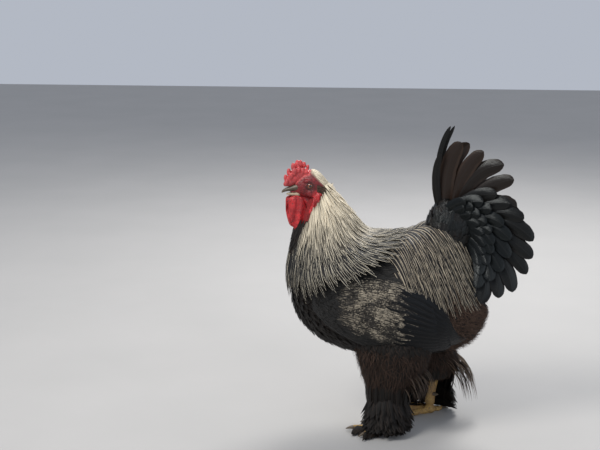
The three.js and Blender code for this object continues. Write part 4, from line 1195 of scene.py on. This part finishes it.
# Cushion: short dark feathers on the rump that lead up into the tail
cushion = {
    "rows": (0.06, 0.86), "gap": (9.0, 9.0), "spacing": (9.0, 9.0), "length": 46, "half": 8.5,
    "lengths": (0.85, 1.2), "turn": 3, "root": -3.0, "rise": 7, "tones": (0, 0.3), "kind": "broad",
    "rings": 9, "shape": {"camber": 0.25, "across": 4, "rag": 0.03},
}
tract("rumpCushion", "tail", "plumage_tail", "tail", rumpForm, rootRows(rumpForm, cushion), cushion)
print("tail built")

# Thighs
thighCoat = {"rows": (0.1, 0.86), "gap": (7.0, 7.0), "spacing": (7.0, 7.0), "length": 26, "half": 5.6,
             "turn": 2, "rise": 4, "tones": (0.2, 0.8)}
for name, side, foot in sides:
    thigh = thighForm(side, foot)
    tract("thighFeathers_" + name, "body", "plumage_dark", "thigh_" + name, thigh,
          rootRows(thigh, thighCoat), thighCoat)

# Soft fluff: fine curved strands over the rear of the body and the thighs
fluff = {"gap": (4.6, 4.6), "spacing": (3.6, 3.6), "length": 24.0, "half": 0.85}
fluffForms = [("rearFluff", torsoForm, (0.66, 0.985), "torso", (0.3, 1))] + [
    ("thighFluff_" + name, thighForm(side, foot), (0.25, 0.86), "thigh_" + name, (0, 0.55))
    for name, side, foot in sides]
for name, form, rows, replaced, brown in fluffForms:
    places = rootRows(form, dict(fluff, rows=rows))
    if form is torsoForm:
        places = places[np.abs((places[:, 1] + 180) % 360 - 180) > 78]
    count = len(places)
    length = fluff["length"] * rng.uniform(0.7, 1.2, count)
    spine, lie = follow(form, places, length, rng.normal(0, 9, count), (-1.0, rng.uniform(4, 12, count)), 5,
                        sag=4.0)
    tone = rng.uniform(*brown, count)
    half = fluff["half"] * rng.uniform(0.7, 1.3, count)
    finished(plumes(name, "fluff", spine, lie, half, "strand", tone, across=1), "plumage_dark", replaced)

# Long curved feathers behind the hocks, longer and paler on the right leg
hock = {
    "count": 70, "rows": (0.46, 0.66), "angle": (115, 225), "half": 2.6, "halves": (0.7, 1.2),
    "kind": "hackle", "rings": 8, "camber": 0.4,
    "left": (0.75, 0.4), "right": (1.25, 1.0),  # length, and the palest tone
}
for name, side, foot in sides:
    count = hock["count"]
    long, palest = hock[name]
    share = rng.uniform(0, 1, count)
    root = thighForm(side, foot).lifted(rng.uniform(*hock["rows"], count), mix(*hock["angle"], share),
                                        np.full(count, -6.0))
    reach = rng.uniform(0.7, 1.15, count) * long
    tip = root + np.stack([44 * reach, 26 * (share - 0.5), -66 * reach], -1)
    bend = root + np.stack([38 * reach, 12 * (share - 0.5), -8 * reach], -1)
    lie = unit(np.stack([np.full(count, 0.7), 0.8 * side * (0.5 - share), np.full(count, 0.5)], -1))
    bentTract("hockFeathers_" + name, "hock", dict(hock, tones=(0, palest)), root, bend, tip, lie[:, None],
              "plumage_dark", "thigh_" + name)

# Cuffs: feathers that hang from the thigh over the hock, shorter on the leg's inner side
cuff = {"count": 460, "rows": (0.56, 0.84), "out": (30, 50), "lowest": (34, 90), "half": 4.2,
        "halves": (0.7, 1.2), "tones": (0, 0.8), "kind": "contour", "rings": 7, "camber": 0.3}
for name, side, foot in sides:
    count = cuff["count"]
    angle = rng.uniform(0, 360, count)
    root = thighForm(side, foot).lifted(rng.uniform(*cuff["rows"], count), angle, np.full(count, -3.0))
    ankle = np.array([foot + 2.0, side * stance, 0.0])
    out = (root - ankle) * np.array([1, 1, 0])
    reach = np.minimum(np.linalg.norm(out, axis=1), rng.uniform(*cuff["out"], count))
    inner = np.clip(-side * unit(out)[:, 1], 0, 1)
    tip = ankle + unit(out) * reach[:, None]
    tip[:, 2] = np.minimum(root[:, 2] - 14, mix(rng.uniform(*cuff["lowest"], count), 100, inner > 0.3))
    bend = mix(root, tip, 0.45) + unit(out) * 9
    lie = unit(out + np.array([0, 0, 4.0]))
    bentTract("cuffFeathers_" + name, "body", cuff, root, bend, tip, lie[:, None], "boot",
              "thigh_" + name, "shank_" + name)

# Boots: feathers out and back from the outer side of each shank, longest a little below the hock
boot = {"count": 420, "height": (124, 22), "turn": (-84, 96), "half": 6.5, "halves": (0.8, 1.2),
        "length": ([0, 0.4, 1], [50, 55, 54]), "drop": ([0, 0.5, 1], [62, 46, 12]), "tones": (0, 0.7),
        "kind": "contour", "rings": 7, "camber": 0.3}
for name, side, foot in sides:
    count = boot["count"]
    down = rng.uniform(0, 1, count)
    turn = np.radians(mix(*boot["turn"], rng.uniform(0, 1, count)))
    out = np.stack([np.sin(turn), side * np.cos(turn), 0 * turn], -1)
    root = np.array([foot + 5, side * stance, 0]) + upwards(mix(*boot["height"], down)) + out * 6
    length = np.interp(down, *boot["length"]) * rng.uniform(0.85, 1.1, count)
    drop = np.interp(down, *boot["drop"]) * rng.uniform(0.85, 1.1, count)
    bend = root + out * length[:, None] * 0.6 - upwards(drop * 0.1)
    tip = root + out * length[:, None] - upwards(drop)
    lie = unit(np.array([0.15, 0, 1.0]) + 0.5 * out)
    bentTract("bootFeathers_" + name, "body", boot, root, bend, tip, lie[:, None], "boot", "shank_" + name)

# Feathers along the middle and outer toes
toeCoat = {"perToe": 90, "length": (26, 40), "tipHeight": (1.5, 6), "half": 1.0, "halves": (2.6, 4.2),
           "tones": (0.2, 1), "kind": "contour", "rings": 6, "camber": 0.3}
for name, side, foot in sides:
    each = toeCoat["perToe"]
    roots, outs = [], []
    for toe in ("middle", "outer"):
        turn, length, radius = toes[toe]
        ahead = toeAhead(side, turn)
        share = rng.uniform(0.1, 0.86, each)
        spot = rng.uniform(-1, 1, each)
        across = np.array([-ahead[1], ahead[0], 0.0])
        roots.append(ankleOf(side, foot) + ahead * (length * share)[:, None] + across * (4 * spot)[:, None]
                     + np.array([0, 0, 5.0]))
        outs.append(ahead * 0.5 + np.stack([0 * spot, side * rng.uniform(0.5, 1.1, each), 0 * spot], -1))
    root, out = np.concatenate(roots), unit(np.concatenate(outs))
    count = len(root)
    length = rng.uniform(*toeCoat["length"], count)
    tip = root + out * length[:, None]
    tip[:, 2] = rng.uniform(*toeCoat["tipHeight"], count)
    bend = root + out * (length * 0.55)[:, None] + np.array([0, 0, 7.0])
    bentTract("toeFeathers_" + name, "body", toeCoat, root, bend, tip, np.array([0.0, 0.0, 1.0]), "boot",
              "foot_" + name)

# Bill, eyes, claws and spurs
upperBill = Form([
    [-69, -18.6, -68, -19.4, 0.6],
    [-67.5, -13.5, -65, -18, 2.2],
    [-61, -8.2, -58.5, -16, 5],
    [-51, -3.6, -48, -14.6, 8],
    [-41, 0.6, -38, -14, 10],
    [-32, 4.5, -28, -13.6, 11.5],
    [-24, -2, -24, -6, 1],
], place=fromHead)
lowerBill = Form([
    [-58, -20.6, -58, -21.6, 1],
    [-55, -19.2, -55, -23.2, 3.4],
    [-47, -17.6, -47, -25.2, 6.2],
    [-38, -16.6, -38, -26.6, 8.6],
    [-29, -15.8, -28, -27.2, 10],
    [-22, -19, -22, -21, 1],
], place=fromHead)
hornLooks = {  # dark, pale, and the heights between which the dark sets in
    "darkHorn": ((0.018, 0.013, 0.010), (0.30, 0.22, 0.14), (0.563, 0.571)),
    "paleHorn": ((0.22, 0.16, 0.10), (0.45, 0.36, 0.25), (0.553, 0.580)),
    "clawHorn": ((0.06, 0.045, 0.03), (0.30, 0.23, 0.16), (-0.02, 0.004)),
}
horns = {name: newMaterial(name, hornNodes, *look) for name, look in hornLooks.items()}
hardPiece(shapedBall("upperBill", upperBill.point, 40, 36), horns["darkHorn"], "horn", "beak_upper")
hardPiece(shapedBall("lowerBill", lowerBill.point, 36, 28), horns["paleHorn"], "horn", "beak_lower")

wetEye = newMaterial("wetEye", wetEyeNodes)
for name, side, foot in sides:
    eye = bead("eyeBall_" + name, eyePoint(side), (bird["eyeRadius"],) * 3, fromHead, 48, 32)
    x, y, z = (gathered(eye.data.vertices, "co", 3) * 1000 - shift - fromHead(eyePoint(side))).T
    irisUv = np.stack([x * headCos + y * headSin, z], -1) / (2 * bird["eyeRadius"]) + 0.5
    corners = gathered(eye.data.loops, "vertex_index", 1, int).ravel()
    eye.data.uv_layers.new(name="irisMap").data.foreach_set("uv", irisUv[corners].ravel())
    hardPiece(eye, wetEye, "eye", "eye_" + name)

claw = {"length": 17.0, "radii": [0.5, 0.5, 0.46, 0.38, 0.29, 0.2, 0.1]}  # radii as shares of the toe's
spur = {"foot": (10, 57.0, 52), "radii": [5, 4.4, 3.6, 2.5, 1.2]}
for name, side, foot in sides:
    for toe, (turn, length, radius) in toes.items():
        steps = np.linspace(0, 1, len(claw["radii"]))
        out = length - 3 + (claw["length"] + 4) * steps
        centres = ankleOf(side, foot) + toeAhead(side, turn) * out[:, None]
        centres[:, 2] += 1.5 + 1.5 * steps - 6 * steps**2
        where = name + "_" + toe
        piece = limb("claw_" + where + "_horn", centres, radius * np.array(claw["radii"]), 20, 24)
        hardPiece(piece, horns["clawHorn"], "horn", "claw_" + where)
    steps = np.linspace(0, 1, len(spur["radii"]))
    x, y, z = spur["foot"]
    outwards = np.stack([10 * steps, -side * 14 * steps, 4 * steps**2], -1)
    centres = np.array([foot + x, side * y, z]) + outwards
    piece = limb("spur_" + name + "_horn", centres, spur["radii"], 20, 24)
    hardPiece(piece, horns["clawHorn"], "horn", "spur_" + name)
print("bill, eyes and claws built")


# Floor and light
def floorNodes(tree):
    grain = noise(objectPlace(tree), 3.0, 3.0)
    return {"Base Color": blended(grain, (0.40, 0.395, 0.385), (0.45, 0.44, 0.43)), "Roughness": 0.8}


bpy.ops.object.select_all(action="DESELECT")
bpy.ops.mesh.primitive_plane_add(size=14, location=(0, 0, 0))
floor = bpy.context.object
floor.name = "floor"
withMaterial(floor, newMaterial("paleFloor", floorNodes))

lights = {  # place, width in metres, power in watts, colour
    "keyLight": ((-1.9, -1.7, 2.9), 1.3, 78, (1.0, 0.97, 0.92)),
    "fillLight": ((1.8, -2.2, 1.5), 2.0, 14, (0.9, 0.95, 1.0)),
    "rimLight": ((0.4, 2.0, 2.5), 1.2, 80, (1.0, 0.98, 0.95)),
}
lookAt = Vector((0, 0, 0.4))
for name, (place, width, power, tint) in lights.items():
    lamp = bpy.data.lights.new(name, "AREA")
    lamp.size = width
    lamp.energy = power
    lamp.color = tint
    holder = placed(name, lamp)
    holder.location = place
    holder.rotation_euler = (lookAt - Vector(place)).to_track_quat("-Z", "Y").to_euler()
world = bpy.data.worlds.new("paleSky")
bpy.context.scene.world = world
world.use_nodes = True
sky = world.node_tree.nodes["Background"]
sky.inputs[0].default_value = (0.82, 0.88, 1.0, 1.0)
sky.inputs[1].default_value = 0.55
print("floor and lights placed")
